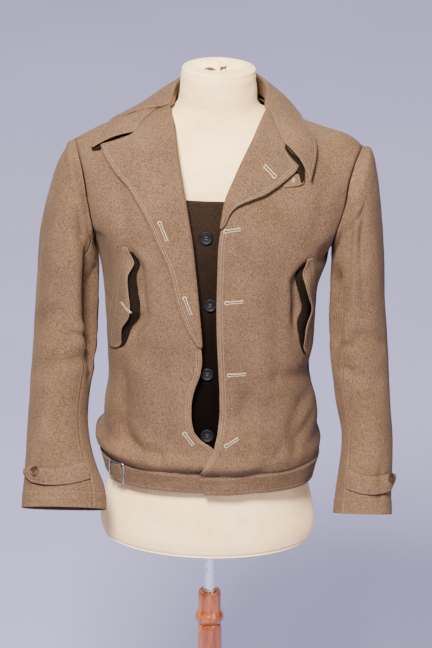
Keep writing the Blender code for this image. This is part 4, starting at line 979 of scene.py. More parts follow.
sleeveCreasesLeft = [
    (-0.021, 0.015, [(-54, 0.14), (-57, 0.28), (-60, 0.42), (-66, 0.56)]),
    (-0.0034, 0.0085, [(24, 0.06), (14, 0.18), (8, 0.34), (16, 0.46)]),
    (-0.003, 0.0065, [(-20, 0.045), (2, 0.075), (20, 0.105)]),
    (-0.0026, 0.008, [(-60, 0.52), (-30, 0.5), (0, 0.52)]),
    (-0.0024, 0.008, [(-66, 0.6), (-38, 0.585), (-8, 0.6)]),
    (-0.002, 0.008, [(70, 0.3), (86, 0.44), (76, 0.6)]),
    (0.0018, 0.009, [(45, 0.16), (42, 0.3), (50, 0.44)]),
    (-0.0024, 0.008, [(180, 0.22), (170, 0.36), (182, 0.48)]),
    (-0.003, 0.008, [(215, 0.47), (240, 0.49), (270, 0.48)]),
    (-0.0022, 0.008, [(36, 0.82), (30, 0.9), (36, 0.98)]),
]


# the body of the garment
def settled(x, z):
    # how free the cloth is of the form: 0 on top of the shoulder, 1 from 50 mm below it
    return smooth(track(shoulder, 1, x) - z, 0.006, 0.055)


def blouse(x, z):
    # the cloth blouses over the band: a low bulge, then it tucks in
    much = 1 - 0.8 * smooth(x, 0.045, 0.1)
    bulge = np.exp(-((z - 0.9045) / 0.011) ** 2) * (0.0104 + 0.0022 * waves(x, z * 0.3, 0.013, 91))
    tuck = 0.003 * (1 - smooth(z, bandTopZ, bandTopZ + 0.007)) * (1 - smooth(np.abs(x), 0.06, 0.12))
    return bulge * much - tuck


def panelLift(folds, creases, seed, x, z):
    # folds + (creases + ripples) * how free the cloth is + the blouse over the band
    fine = creaseHeight(creases, x, z) + ripples(x, z, seed)
    return foldHeight(folds, x, z) + fine * settled(x, z) + blouse(x, z)


def overlapLift(x, z):
    # the left front rides over the right one near the band
    return 0.0065 * smooth(0.985 - z, 0, 0.05) * smooth(0.075 - x, 0, 0.055)


def levelHeight(share, top):
    # shares up to 1 run evenly from the band to the armpit, from 1 to 2 from there to the top
    below = bandTopZ + (armpitZ - bandTopZ) * np.minimum(share, 1)
    return below + (top - armpitZ) * np.maximum(share - 1, 0)


def levelRows():
    # even shares up to the armpit, then steps even round the armhole's half circle: 1 + (1 + sin a) / 2
    low = np.linspace(0, 1, 96)
    arc = np.radians(np.arange(-90 + 2.5, 90.1, 2.5))
    return np.concatenate([low, 1 + (1 + np.sin(arc)) / 2])


def sideX(share, sign):
    # the side seam's x and z, and above the armpit the armhole's
    column = 1 if sign < 0 else 2
    z = levelHeight(share, armhole[-1][0])
    x = np.where(share > 1, track(armhole, column, z), sign * track(torso, column, z))
    return x, np.where(share > 1, levelHeight(share, track(shoulder, 1, x)), z)


def angleOf(x, z):
    # the turn round the body at x: asin((|x| / half)^(q/2))
    return np.arcsin(np.clip(np.abs(x) / halfWidth(x, z), 0, 1) ** (squareness / 2))


settleRounds = 4  # the width depends on the height and the other way round


def frontPlaces(sign, share, cols):
    # columns are even in the angle round the body: x = half(z) * |sin(turn)|^(2/q)
    column = 1 if sign < 0 else 2
    share = share[:, None]
    topX = track(frontEdge, column, frontEdge[-1][0])
    z0 = levelHeight(share, track(shoulder, 1, topX))
    x0 = track(frontEdge, column, z0)
    x1, z1 = sideX(share, sign)
    across = np.linspace(0, 1, cols)[None, :]
    turn0 = np.sign(x0) * sign * angleOf(x0, z0)
    turn = turn0 + (angleOf(x1, z1) - turn0) * across
    z = z0 + (z1 - z0) * across
    for _ in range(settleRounds):
        x = sign * np.sign(turn) * halfWidth(sign * turn, z) * np.abs(np.sin(turn)) ** (2 / squareness)
        x[:, 0], x[:, -1] = x0[:, 0], x1[:, 0]
        wide = np.maximum(sign * x, sign * topX) * sign
        z = np.where(share > 1, levelHeight(share, track(shoulder, 1, wide)), z)
        z[:, -1] = z1[:, 0]
    return x, z


def rollOver(edge, over, away, radius, turn=math.pi, steps=10):
    # a turn about the edge: edge + away r sin(a) + over r (1 - cos(a))
    return [edge + away * radius[:, None] * math.sin(a) + over * (radius * (1 - math.cos(a)))[:, None]
            for a in np.linspace(0, turn, steps + 1)[1:]]


def lapelColumns(table, topTable, column, lifts, rollZ, lift, cols=34):
    # from the roll line over to the lapel's edge; the top rows bend to the notch and the gorge seam
    steps = np.array([row[0] for row in table])
    share = np.interp(rollZ, steps, np.linspace(0, 1, len(table)))
    at = np.clip(rollZ, steps[0], steps[-1])
    rollX = track(frontEdge, column, rollZ)
    edgeX = rollX + track(table, 1, at) - track(frontEdge, column, at)
    edgeZ = rollZ + track(table, 2, at) - at
    top = share ** 7
    foot, tip, crest = lifts
    radius = (foot + (crest - foot) * np.minimum(share * 3, 1) ** 0.8) / 2
    normals = bodyNormal(rollX, rollZ)
    middle = bodyPoint(rollX, rollZ, lift(rollX, rollZ) - clothThick / 2)
    away = unit(np.cross(np.gradient(middle, axis=0), normals))
    away = away * np.sign(away[:, :1] * (rollX - edgeX)[:, None])
    columns = rollOver(middle, normals, away, radius)
    last = track(table, 1, steps[-1]), track(table, 2, steps[-1])
    first = track(frontEdge, column, steps[-1]), steps[-1]
    for q in np.linspace(0, 1, cols + 1)[1:]:
        place = np.full(len(rollZ), q)
        topX = track(topTable, 1, place) - (first[0] + (last[0] - first[0]) * q)
        topZ = track(topTable, 2, place) - (first[1] + (last[1] - first[1]) * q)
        x = rollX + (edgeX - rollX) * q + top * topX
        z = rollZ + (edgeZ - rollZ) * q + top * topZ
        settle = 2 * radius - clothThick / 2
        rise = settle + (np.minimum(settle, tip) - settle) * q ** 1.5
        own = ripples(x * 1.3, z, 7 + column) * 0.45 * math.sin(math.pi * q)
        columns.append(bodyPoint(x, z, rise + lift(x, z) * 0.8 + own))
    return columns


def trackPoint(table, first, at):
    # three columns of a table as the x, y and z of a smooth curve
    return stack(*(track(table, first + k, at) for k in range(3)))


def gorgePlaces(points, low, high):
    # for each point of a lapel's top, the place of the collar's seam with the same x, just under it
    rail = trackPoint(collarRails, 1, np.linspace(low, high, 200))
    nearest = np.argmin(np.abs(rail[None, :, 0] - points[:, None, 0]), axis=1)
    return rail[nearest] + np.array([0.0, 0.001, -0.0032])


frontPieces = {
    "front_right_cloth": {"sign": -1, "column": 1, "table": lapelRight, "top": lapelRightTop,
                          "lifts": (0.0044, 0.0062, 0.009), "flat": (0.4, 0.62),
                          "gorge": (0.0, 0.22), "gorgeColumns": 31,
                          "nodes": ("front_right", "lapel_right")},
    "front_left_cloth": {"sign": 1, "column": 2, "table": lapelLeft, "top": lapelLeftTop,
                         "lifts": (0.005, 0.0105, 0.0105), "flat": (0.4, 0.62),
                         "gorge": (0.82, 1.0), "gorgeColumns": 32,
                         "nodes": ("front_left", "lapel_left")},
}


def seamDip(distance, depth=0.0007, width=0.0022):
    # -depth * exp(-(distance / width)^2)
    return -depth * np.exp(-(distance / width) ** 2)


frontCols = 64
gorgeRows = 4


def makeFront(name, spec):
    # body from side seam to roll line, then over the roll line the lapel, then its seam with the collar
    sign, column = spec["sign"], spec["column"]
    share = levelRows()
    topX = track(frontEdge, column, frontEdge[-1][0])
    edgeZ = levelHeight(share, track(shoulder, 1, topX))
    low, high = spec["table"][0][0], spec["table"][-1][0]
    for wanted in (low, high):
        i = int(np.argmin(np.abs(edgeZ - wanted)))
        span = (armpitZ - bandTopZ) if wanted < armpitZ else (track(shoulder, 1, topX) - armpitZ)
        share[i] += (wanted - edgeZ[i]) / span
    x, z = frontPlaces(sign, share, frontCols)
    rowZ = z[:, 0]

    def lift(px, pz):
        # the left front also rides over the right one
        return panelLift(frontFolds, frontCreases, 3, px, pz) + (overlapLift(px, pz) if sign > 0 else 0.0)

    fromSide = arcs(bodyPoint(x, z)[:, ::-1], 1)[:, ::-1]
    # the armhole's seam is deeper than the side seam
    height = lift(x, z) + np.where(share[:, None] > 1, seamDip(fromSide, 0.0022, 0.0034), seamDip(fromSide))
    body = bodyPoint(x, z, height)[:, ::-1]
    bodyInner = bodyPoint(x, z, height - clothThick)[:, ::-1]
    bodyInner[..., 1] = np.minimum(bodyInner[..., 1], -seamGap / 2)
    rolled = np.stack(lapelColumns(spec["table"], spec["top"], column, spec["lifts"], rowZ, lift), axis=1)
    topRow = int(np.argmin(np.abs(rowZ - high)))
    gorge = gorgePlaces(rolled[topRow], *spec["gorge"])
    for k in range(1, gorgeRows + 1):
        rolled[topRow + k] = rolled[topRow] + (gorge - rolled[topRow]) * k / gorgeRows
    middleAll = np.concatenate([(body + bodyInner) / 2, rolled], axis=1)
    normals = surfaceNormals(middleAll)
    normals = normals * np.sign((normals[:, 5:40] * (body - bodyInner)[:, 5:40]).sum())
    half = normals[:, frontCols:] * clothThick / 2
    faceAll = np.concatenate([body, rolled + half], axis=1)
    innerAll = np.concatenate([bodyInner, rolled - half], axis=1)
    mask = np.ones(faceAll.shape[:2], bool)
    inLapel = (rowZ >= low - 1e-6) & (rowZ < high - 1e-6)
    mask[:, frontCols - 1:] = inLapel[:, None]
    mask[topRow:topRow + gorgeRows, frontCols:frontCols + spec["gorgeColumns"]] = True
    obj = shell(name, faceAll, innerAll, serge, mask, frontCols - 2, 3)
    declare(obj, spec["flat"], "draped", ["dress_form_cover"], spec["nodes"])
    return {"face": faceAll, "inner": innerAll, "rowZ": rowZ, "lapelRows": inLapel, "lift": lift}


def backPlaces(cols=122):
    # as frontPlaces, from side seam to side seam, with a low dip under the collar
    share = levelRows()[:, None]
    xa, za = sideX(share, -1)
    xb, zb = sideX(share, 1)
    across = np.linspace(-1, 1, cols)[None, :]
    turn = np.where(across < 0, angleOf(xa, za) * across, angleOf(xb, zb) * across)
    z = np.where(across < 0, za, zb) + 0 * across
    for _ in range(settleRounds):
        x = np.sign(turn) * halfWidth(across + 0 * turn, z) * np.abs(np.sin(turn)) ** (2 / squareness)
        x[:, 0], x[:, -1] = xa[:, 0], xb[:, 0]
        top = np.where(np.abs(x) < 0.078, np.minimum(track(shoulder, 1, x), 1.4585), track(shoulder, 1, x))
        z = np.where(share > 1, levelHeight(share, top), z)
        z[:, 0], z[:, -1] = za[:, 0], zb[:, 0]
    return x, z


noWear = 9999  # past any row
backSpec = {"flat": (0.6, 0.6), "seed": 21}


def makeBack(spec):
    # one plain panel; no edge of it is worn
    x, z = backPlaces()
    lift = panelLift(backFolds, backCreases, spec["seed"], x, z)
    inner = bodyPoint(x, z, lift - clothThick, True)
    inner[..., 1] = np.maximum(inner[..., 1], seamGap / 2)
    obj = shell("back_cloth", bodyPoint(x, z, lift, True), inner, serge, wornRow=noWear)
    declare(obj, spec["flat"], "draped", ["dress_form_cover"], ["back"])


fronts = {name: makeFront(name, spec) for name, spec in frontPieces.items()}
makeBack(backSpec)
print("body panels made")


collarSpec = {"flat": (0.13, 0.62), "rows": 170, "crown": 0.006, "foldRadius": 0.0024}


def makeCollar(spec):
    # fall, turn and stand are one cloth; rows go round the neck, columns from edge to seam
    at = np.linspace(0, 1, spec["rows"])
    inner, outer = trackPoint(collarRails, 1, at), trackPoint(collarRails, 4, at)
    across = outer - inner
    bulge = unit(np.cross(np.gradient(inner, axis=0), across))
    bulge = bulge * np.sign(bulge[:, 2:3] + 0.3 * np.abs(bulge[:, 1:2]))
    columns = []
    for q in np.linspace(1, 0, 26):
        own = ripples(at * 0.5, q * 0.06 + 0 * at, 31) * 0.7 * q * (1.3 - q)
        soft = spec["crown"] * math.sin(math.pi * q) + own
        columns.append(inner + across * q + bulge * (soft - clothThick / 2)[:, None])
    folded = len(columns)
    away = unit(inner - outer)
    stood = np.clip(at, collarFoot[0][0], collarFoot[-1][0])
    seam = inner + trackPoint(collarFoot, 1, stood) - trackPoint(collarRails, 1, stood)
    columns += rollOver(columns[-1], -bulge, away, spec["foldRadius"] + 0 * at, math.radians(150), 7)
    turned = columns[-1]
    # the stand runs out towards both its ends, under the lapels
    fromEnd = np.minimum(at - collarFoot[0][0], collarFoot[-1][0] - at)
    full = (0.08 + 0.92 * smooth(fromEnd, 0.0, 0.07))[:, None]
    columns += [turned + (seam - turned) * q * full for q in np.linspace(0, 1, 13)[1:]]
    middle = np.stack(columns, axis=1)
    normals = surfaceNormals(middle)
    normals = normals * np.sign((normals[:, :folded] * bulge[:, None, :]).sum())
    mask = np.ones(middle.shape[:2], bool)
    mask[:, folded - 1:] = ((at >= collarFoot[0][0]) & (at < collarFoot[-1][0]))[:, None]
    face, back = middle + normals * clothThick / 2, middle - normals * clothThick / 2
    obj = shell("collar_cloth", face, back, serge, mask)
    declare(obj, spec["flat"], "folded", ["back_cloth"], ["collar_fall", "collar_stand"])
    return withNormals(face, back)


collarFall = makeCollar(collarSpec)


# the sleeves
def sleevePoint(table, angle, at):
    # an ellipse round the arm: middle + half width * sin(angle) + half depth * cos(angle), leant forward
    outer = stack(track(table, 1, at), 0.0, track(table, 2, at))
    inner = stack(track(table, 3, at), 0.0, track(table, 4, at))
    middle = (outer + inner) / 2
    middle[..., 1] = track(table, 5, at)
    pitch = np.radians(track(table, 7, at))
    front = stack(0.0, -np.cos(pitch), np.sin(pitch))
    depth = track(table, 6, at)[..., None]
    return middle + (outer - inner) / 2 * np.sin(angle)[..., None] + front * depth * np.cos(angle)[..., None]


def sleeveNormal(table, angle, at):
    # the directions round and down the arm crossed
    d = 0.002
    around = sleevePoint(table, angle + d, at) - sleevePoint(table, angle - d, at)
    down = sleevePoint(table, angle, np.minimum(at + d, 1)) - sleevePoint(table, angle, np.maximum(at - d, 0))
    return unit(np.cross(around, down) * (1 if table[0][1] < 0 else -1))


def sleeveHeight(spec, angle, at):
    # folds and creases on the cloth unrolled round the arm; an angle past the last seam wraps round
    angle = np.where(angle > math.radians(285), angle - 2 * math.pi, angle)
    flatFolds = [(math.radians(a) * sleeveRadius, s * sleeveLength, math.radians(b) * sleeveRadius,
                  t * sleeveLength, rise, width) for a, s, b, t, rise, width in spec["folds"]]
    flatCreases = [(rise, width, [(math.radians(a) * sleeveRadius, s * sleeveLength) for a, s in points])
                   for rise, width, points in spec["creases"]]
    u, v = angle * sleeveRadius, at * sleeveLength
    fine = creaseHeight(flatCreases, u, v) + ripples(u * 1.1 + v * 0.15, v, spec["seed"]) * 0.9
    return foldHeight(flatFolds, u, v) + fine * smooth(at, 0.0, 0.08)


def sleeveFace(spec, angle, at, extra=0.0):
    # the sleeve's place moved out along its normal by folds, creases and the extra
    angle, at = np.broadcast_arrays(angle, at)
    lift = sleeveHeight(spec, angle, at) + extra
    return sleevePoint(spec["table"], angle, at) + sleeveNormal(spec["table"], angle, at) * lift[..., None]


def armholePoint(sign, angle):
    # the armhole's place at this angle of the sleeve's head, with the body's normal there
    x, z = sideX(1 + (1 + np.sin(angle)) / 2, sign)
    front = np.cos(angle) > 0
    y = np.where(front, bodyY(x, z) - seamGap / 2, bodyY(x, z, True) + seamGap / 2)
    return stack(x, y, z), np.where(front[..., None], bodyNormal(x, z), bodyNormal(x, z, True))


sleeveSpecs = {
    "right": {"table": sleeveRight, "folds": sleeveFoldsRight, "creases": sleeveCreasesRight, "sign": -1,
              "seed": 41, "tab": (-42, 66), "tabLevels": (0.872, 0.878), "button": 41},
    "left": {"table": sleeveLeft, "folds": sleeveFoldsLeft, "creases": sleeveCreasesLeft, "sign": 1,
             "seed": 51, "tab": (-42, 74), "tabLevels": (0.885, 0.878), "button": 52},
}
hemAt = 0.949  # share of the way down where the cuff's hem is stitched
sleeveParts = {"top": {"from": -45, "to": 210, "cols": 84, "flat": (0.32, 0.6)},
               "under": {"from": 210, "to": 315, "cols": 36, "flat": (0.15, 0.58)}}


def makeSleeve(side, part):
    # one length from armhole to cuff: seams dip, the hem is a little raised, the head rolls over the seam
    spec, cut = sleeveSpecs[side], sleeveParts[part]
    trim = seamGap / sleeveRadius  # the seam's gap as an angle
    angle = np.linspace(math.radians(cut["from"]) + trim, math.radians(cut["to"]) - trim, cut["cols"])
    at = np.concatenate([np.linspace(0, 0.1, 22)[:-1], np.linspace(0.1, 1, 136)])[:, None]
    ring, ringNormals = armholePoint(spec["sign"], angle)
    angle = angle[None, :] + 0 * at
    at = at + 0 * angle
    nearSeam = np.minimum(angle - angle[0, 0], angle[0, -1] - angle) * sleeveRadius
    dip = seamDip(nearSeam, 0.0006, 0.0018)
    hem = 0.0007 * smooth(at, hemAt - 0.004, hemAt + 0.003) - 0.0005 * np.exp(-((at - hemAt) / 0.0018) ** 2)
    head = 0.003 * np.exp(-((at * sleeveLength - 0.016) / 0.01) ** 2) * smooth(np.sin(angle), -0.4, 0.3)
    grid = sleeveFace(spec, angle, at, dip + hem + head)
    # the head is eased into the armhole: rows near it start from the body's own edge
    ease = (1 - smooth(at, 0.0, 0.045))[..., None]
    shift = (ring + np.array([spec["sign"] * 1.5 * seamGap, 0, 0]) - grid[0])[None]
    grid = grid + shift * ease
    normals = surfaceNormals(grid)
    normals = normals * np.sign((normals * sleeveNormal(spec["table"], angle, at)).sum())
    normals[0] = unit(ringNormals + normals[0])
    name = "sleeve_" + part + "_" + side
    obj = shell(name + "_cloth", grid, grid - normals * clothThick, serge, wornRow=140)
    declare(obj, cut["flat"], "draped", ["dress_form_cover"], [name])
    return {"grid": np.concatenate([grid, normals], axis=-1), "at": at[:, 0]}


sleeves = {(side, part): makeSleeve(side, part) for side in sleeveSpecs for part in sleeveParts}
print("collar and sleeves made")


# what lies on the panels or hangs behind them
def nearestLift(x, z):
    # the lift of the front that is on this side
    return np.where(x < 0, fronts["front_right_cloth"]["lift"](x, z), fronts["front_left_cloth"]["lift"](x, z))


def layOn(name, x, z, lift, spec, thick=clothThick, material=serge):
    # a cloth over the fronts: their lift, times how much it follows them, plus its own
    height = nearestLift(x, z) * spec.get("follow", 1.0) + lift
    face, inner = bodyPoint(x, z, height), bodyPoint(x, z, height - thick)
    obj = shell(name, face, inner, material)
    declare(obj, spec["flat"], spec["held"], spec["on"], spec["nodes"])
    return withNormals(face, inner)


flapTopZ = 1.339
flapFootZ = bandTopZ + (armpitZ - bandTopZ) / 11
flapBehind = 0.0014
shadeSheetThick = 0.0012
underFlap = {"flat": (0.13, 0.44), "held": "hung", "on": ["front_right_cloth"], "nodes": ["under_flap"],
             "follow": 0.5}


def flapDepth(z):
    # how far the under flap hangs behind the fronts: 11 mm at its top, 18 mm at its foot
    return 0.011 + 0.007 * (flapTopZ - z) / (flapTopZ - flapFootZ)


def makeUnderFlap():
    # from its seam behind the right front it eases back to its full depth over a third of its width
    z = np.linspace(flapFootZ, flapTopZ, 100)[:, None]
    share = (z - flapFootZ) / (flapTopZ - flapFootZ)
    attached = -0.063 - 0.025 * share
    across = np.linspace(0, 1, 30)[None, :]
    x = attached + (0.034 - attached) * across
    z = z + 0 * across
    ease = np.minimum(across / 0.34, 1) ** 1.3
    lift = -clothThick - flapBehind - flapDepth(z) * ease
    # the under flap is drawn in the serge with painted shade
    layOn("under_flap_cloth", x, z, lift, underFlap, material=sergeWithPaintedShade)


makeUnderFlap()

flapSpecs = {
    "pocket_flap_right": {"side": "right", "sign": 1, "table": flapRight, "open": 0.0066, "flat": (0.05, 0.2),
                          "seed": 61},
    "pocket_flap_left": {"side": "left", "sign": -1, "table": flapLeft, "open": 0.0052, "flat": (0.04, 0.19),
                         "seed": 67},
}


def makePocketFlap(name, spec):
    # ruled from its seam to its free edge, which stands off by sin^0.6 of the way down
    at = np.linspace(0, 1, 70)[:, None]
    across = np.linspace(0, 1, 18)[None, :]
    table = spec["table"]
    x = track(table, 1, at) + (track(table, 3, at) - track(table, 1, at)) * across
    z = track(table, 2, at) + (track(table, 4, at) - track(table, 2, at)) * across
    stand = 0.0105 * np.sin(np.clip(at * 1.15, 0, 1) * math.pi) ** 0.6 + 0.0012
    own = ripples(x * 1.4, z, spec["seed"]) * 0.5 * across
    lift = clothThick + 2 * seamGap + stand * across ** 1.4 + own
    lift = lift - 0.0005 * np.exp(-((across - 0.3) * 0.03 / 0.0012) ** 2)
    given = {"flat": spec["flat"], "held": "hung", "on": ["front_" + spec["side"] + "_cloth"], "nodes": [name],
             "follow": 0.6}
    return layOn(name + "_cloth", x, z, lift, given)


pocketFlaps = {name: makePocketFlap(name, spec) for name, spec in flapSpecs.items()}


mouthUnder = 0.007  # how far the sheet of painted shade goes under the flap


def makePocketMouth(spec):
    # the pocket hangs open beside its flap: a near-black lens of painted shade lies in the mouth
    side, sign = spec["side"], spec["sign"]
    at = np.linspace(0.03, 0.97, 70)[:, None]
    across = np.linspace(0, 1, 10)[None, :]
    gap = spec["open"] * np.sin(math.pi * at) ** 0.55 * (1 + 0.25 * np.sin(9 * at + 1.0))
    edge = track(spec["table"], 3, at) - sign * mouthUnder
    x = edge + sign * (mouthUnder + gap) * across
    z = track(spec["table"], 4, at) + 0 * across
    given = {"flat": (0.025, 0.17), "held": "draped", "on": ["front_" + side + "_cloth"], "nodes": []}
    layOn("pocket_mouth_" + side + "_painted_shade_sheet", x, z, 0.0018, given, shadeSheetThick, paintedShadeCloth)


for spec in flapSpecs.values():
    makePocketMouth(spec)

throatTab = {"flat": (0.034, 0.017), "held": "laid", "on": ["front_left_cloth"], "nodes": ["throat_tab"]}


def makeThroatTab():
    # a short tab with a rounded tip; it rises 3 mm along its length
    across = np.linspace(0, 1, 16)[None, :]
    up = np.linspace(-1, 1, 10)[:, None]
    x = 0.1 + 0.03 * across + 0 * up
    half = 0.0078 * np.interp(across, [0, 0.7, 0.92, 1], [1, 1, 0.8, 0.45])
    return layOn("throat_tab_cloth", x, 1.3655 + half * up, clothThick + seamGap + 0.003 * across, throatTab)


throatGrid = makeThroatTab()

# painted shade under the collar's leaves, seen through the notches: a near-black sheet; x, z and how far it
# reaches up and out
notchSpecs = {
    "left": {"flat": (0.02, 0.09), "out": 1,
             "line": [(0.085, 1.427, 0.001), (0.0945, 1.4115, 0.0035), (0.1042, 1.3985, 0.006),
                      (0.1185, 1.386, 0.008), (0.125, 1.376, 0.006), (0.129, 1.364, 0.0008)]},
    "right": {"flat": (0.02, 0.03), "out": -0.25,
              "line": [(-0.1965, 1.393, 0.001), (-0.189, 1.395, 0.005), (-0.1815, 1.3985, 0.0065),
                       (-0.17, 1.403, 0.001)]},
}


def makeNotch(side, spec):
    # a strip along the notch that reaches up and out by its own width at each place
    line = np.array(spec["line"])
    at = np.linspace(0, len(line) - 1, 50)
    x, z, wide = [np.interp(at, np.arange(len(line)), line[:, k]) for k in (0, 1, 2)]
    across = np.linspace(-0.0045, 1, 8)[None, :]
    reach = np.where(across < 0, across, wide[:, None] * across)
    x, z = x[:, None] + reach * 0.75 * spec["out"], z[:, None] + reach * 0.66
    given = {"flat": spec["flat"], "held": "draped", "on": ["front_" + side + "_cloth"], "nodes": []}
    # the strip is a sheet of painted shade
    layOn("painted_shade_under_collar_" + side, x, z, 0.0066, given, shadeSheetThick, paintedShadeCloth)


for side, spec in notchSpecs.items():
    makeNotch(side, spec)

quarter = math.pi / 2
bandLift = 0.001
bandCentre = np.array([0, 0, 0.87])
bandSpecs = {
    "band_right": {"flat": (0.3, 0.05), "nodes": ["band_right"], "on": ["dress_form_cover"]},
    "band_left": {"flat": (0.32, 0.06), "nodes": ["band_left"], "on": ["band_right_cloth"]},
    "band_back": {"flat": (0.52, 0.05), "nodes": ["band_back"], "on": ["dress_form_cover"]},
}


def turnAt(x, z=0.87):
    # the signed turn round the body at x, half way up the band
    return float(angleOf(np.array(x), np.array(z))) * (1 if x >= 0 else -1)


def bandPlaces(startTurn, endTurn, cols, sign, back=False):
    # even turns round the body; in front the lower edge rises 9 mm * cos^2(turn)
    turn = np.linspace(startTurn, endTurn, cols)[None, :]
    share = np.linspace(0, 1, 16)[:, None]
    bottom = hemZ + (0.0 if back else 0.009 * np.cos(turn) ** 2)
    z = bottom + (bandTopZ - 2 * seamGap - bottom) * share
    side = np.sign(turn) * sign
    return side * halfWidth(side, z) * np.abs(np.sin(turn)) ** (2 / squareness), z, share


def bandWall(name, x, z, share, lift, back=False):
    # ripples, two stitched grooves and a tuck at the top, where the blouse starts
    fine = ripples(x, z * 1.5, 71 + len(name)) * 1.5 * np.sin(math.pi * share)
    groove = -0.0005 * (np.exp(-((share - 0.13) / 0.035) ** 2) + np.exp(-((share - 0.87) / 0.035) ** 2))
    tuck = -0.003 * smooth(share, 0.86, 1.0)
    face = bodyPoint(x, z, lift + fine + groove + tuck, back)
    inner = bodyPoint(x, z, lift + fine - bandThick, back)
    spec = bandSpecs[name]
    obj = shell(name + "_cloth", face, inner, serge)
    declare(obj, spec["flat"], "draped", spec["on"], spec["nodes"])
    return facing(face, bandCentre)


def makeWaistband():
    # three lengths: the left one ends in a slant over the right one, and the back joins them at the sides
    x, z, share = bandPlaces(-turnAt(0.012), quarter, 90, -1)
    right = bandWall("band_right", x, z, share, bandLift)
    x, z, share = bandPlaces(turnAt(-0.015), quarter, 100, 1)
    x[:, 0] += np.linspace(0.0045, -0.0045, 16)
    left = bandWall("band_left", x, z, share, bandLift + overlapLift(x, z * 0 + 0.9))
    x, z, share = bandPlaces(-quarter, quarter, 150, 1, True)
    return right, left, bandWall("band_back", x, z, share, bandLift, True)


bands = makeWaistband()

strapSpec = {"flat": (0.182, 0.034), "held": "stretched", "on": ["band_right_cloth"], "nodes": ["strap"],
             "endX": -0.1414, "low": 0.8505, "wide": 0.034}


def makeStrap(spec):
    # from the slide round the side seam to the back, pulled flat along the band
    front = np.linspace(-turnAt(spec["endX"]), quarter, 26)
    behind = np.linspace(quarter, 1.15, 18)[1:]
    share = np.linspace(0, 1, 12)[:, None]
    z = spec["low"] + spec["wide"] * share
    columns, inners = [], []
    lift = bandLift + 2 * seamGap + clothThick + 0.0004 * np.sin(math.pi * share)
    for turn, back in [(t, False) for t in front] + [(t, True) for t in behind]:
        x = np.minimum(-halfWidth(-1.0, z) * abs(math.sin(turn)) ** (2 / squareness), spec["endX"])
        columns.append(bodyPoint(x, z, lift, back)[:, 0])
        inners.append(bodyPoint(x, z, lift - clothThick, back)[:, 0])
    face, inner = np.stack(columns, axis=1), np.stack(inners, axis=1)
    obj = shell("strap_cloth", face, inner, serge)
    declare(obj, spec["flat"], spec["held"], spec["on"], spec["nodes"])
    return facing(face, bandCentre)


strapGrid = makeStrap(strapSpec)


# corners of the slide: x, z, lift
buckleSpec = {"corners": [(-0.1388, 0.8475, 0.0026), (-0.1388, 0.887, 0.0026),
                          (-0.159, 0.887, 0.0051), (-0.159, 0.8475, 0.0051)],
              "rounding": 0.0035, "wire": 0.0011}


def makeBuckle(spec):
    # a rectangular slide of round wire; each corner is a curve start (1-t)^2 + corner 2t(1-t) + end t^2
    corners, line = spec["corners"], []
    for i, here in enumerate(corners):
        before, after = np.array(corners[i - 1]), np.array(corners[(i + 1) % 4])
        here = np.array(here)
        start = here + (before - here) * spec["rounding"] / np.abs(before - here)[:2].max()
        end = here + (after - here) * spec["rounding"] / np.abs(after - here)[:2].max()
        for t in np.linspace(0, 1, 7):
            line.append(start * (1 - t) ** 2 + here * 2 * t * (1 - t) + end * t * t)
    line = np.array(line + line[:1])
    stops = np.arange(len(line))
    at = np.linspace(0, stops[-1], 4 * stops[-1] + 1)[:-1]
    x, z, lift = [np.interp(at, stops, line[:, k]) for k in range(3)]
    points = lean(bodyPoint(x, z, lift))
    frameRing = tubes("buckle_frame", points[None], spec["wire"], 12, nickel, slot="steel", loop=True)
    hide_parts("buckle")


makeBuckle(buckleSpec)
print("flaps, band and strap made")


# the cuffs
tabSpec = {"flat": (0.13, 0.034), "halfWidth": 0.026, "bow": 0.022}


def tabPlaces(spec):
    # angles and shares of the sleeve under the tab: its middle bows down, its end comes to a point
    share = np.linspace(0, 1, 60)[None, :]
    up = np.linspace(-1, 1, 18)[:, None]
    angle = np.radians(spec["tab"][0] + (spec["tab"][1] - spec["tab"][0]) * share)
    point = np.clip((1 - share) / 0.16, 0.25, 1) ** 0.6
    low, high = spec["tabLevels"]
    middle = low + (high - low) * share + tabSpec["bow"] * np.sin(share * math.pi)
    return angle + 0 * up, middle + tabSpec["halfWidth"] * point * up, share, up


def makeCuffTab(side, spec):
    # laid round the sleeve, crowned across by 1 - up^2, standing off by 3 mm at its buttoned end
    angle, at, share, up = tabPlaces(spec)
    groove = -0.0004 * np.exp(-((np.abs(up) - 0.8) / 0.06) ** 2)
    raised = clothThick + 3 * seamGap + 0.001 + 0.0012 * (1 - up * up)
    raised = raised + 0.003 * np.clip((share - 0.35) / 0.3, 0, 1)
    face = sleeveFace(spec, angle, at, raised + groove)
    inner = sleeveFace(spec, angle, at, raised - clothThick)
    obj = shell("cuff_tab_" + side + "_cloth", face, inner, serge)
    declare(obj, tabSpec["flat"], "laid", ["sleeve_top_" + side + "_cloth"], ["cuff_tab_" + side])
    return facing(face, face.mean(axis=(0, 1)) - np.array([0.05 * spec["sign"], -0.06, 0]))


cuffTabs = [makeCuffTab(side, spec) for side, spec in sleeveSpecs.items()]


# a button's half section in radii: from the middle of its face over the rim to the middle of its back
buttonProfile = [(0.0, 0.18), (0.5, 0.18), (0.66, 0.22), (0.78, 0.31), (0.88, 0.34), (0.95, 0.3), (0.99, 0.22),
                 (1.0, 0.14), (0.96, 0.06), (0.85, 0.0), (0.6, 0.0), (0.0, 0.0)]


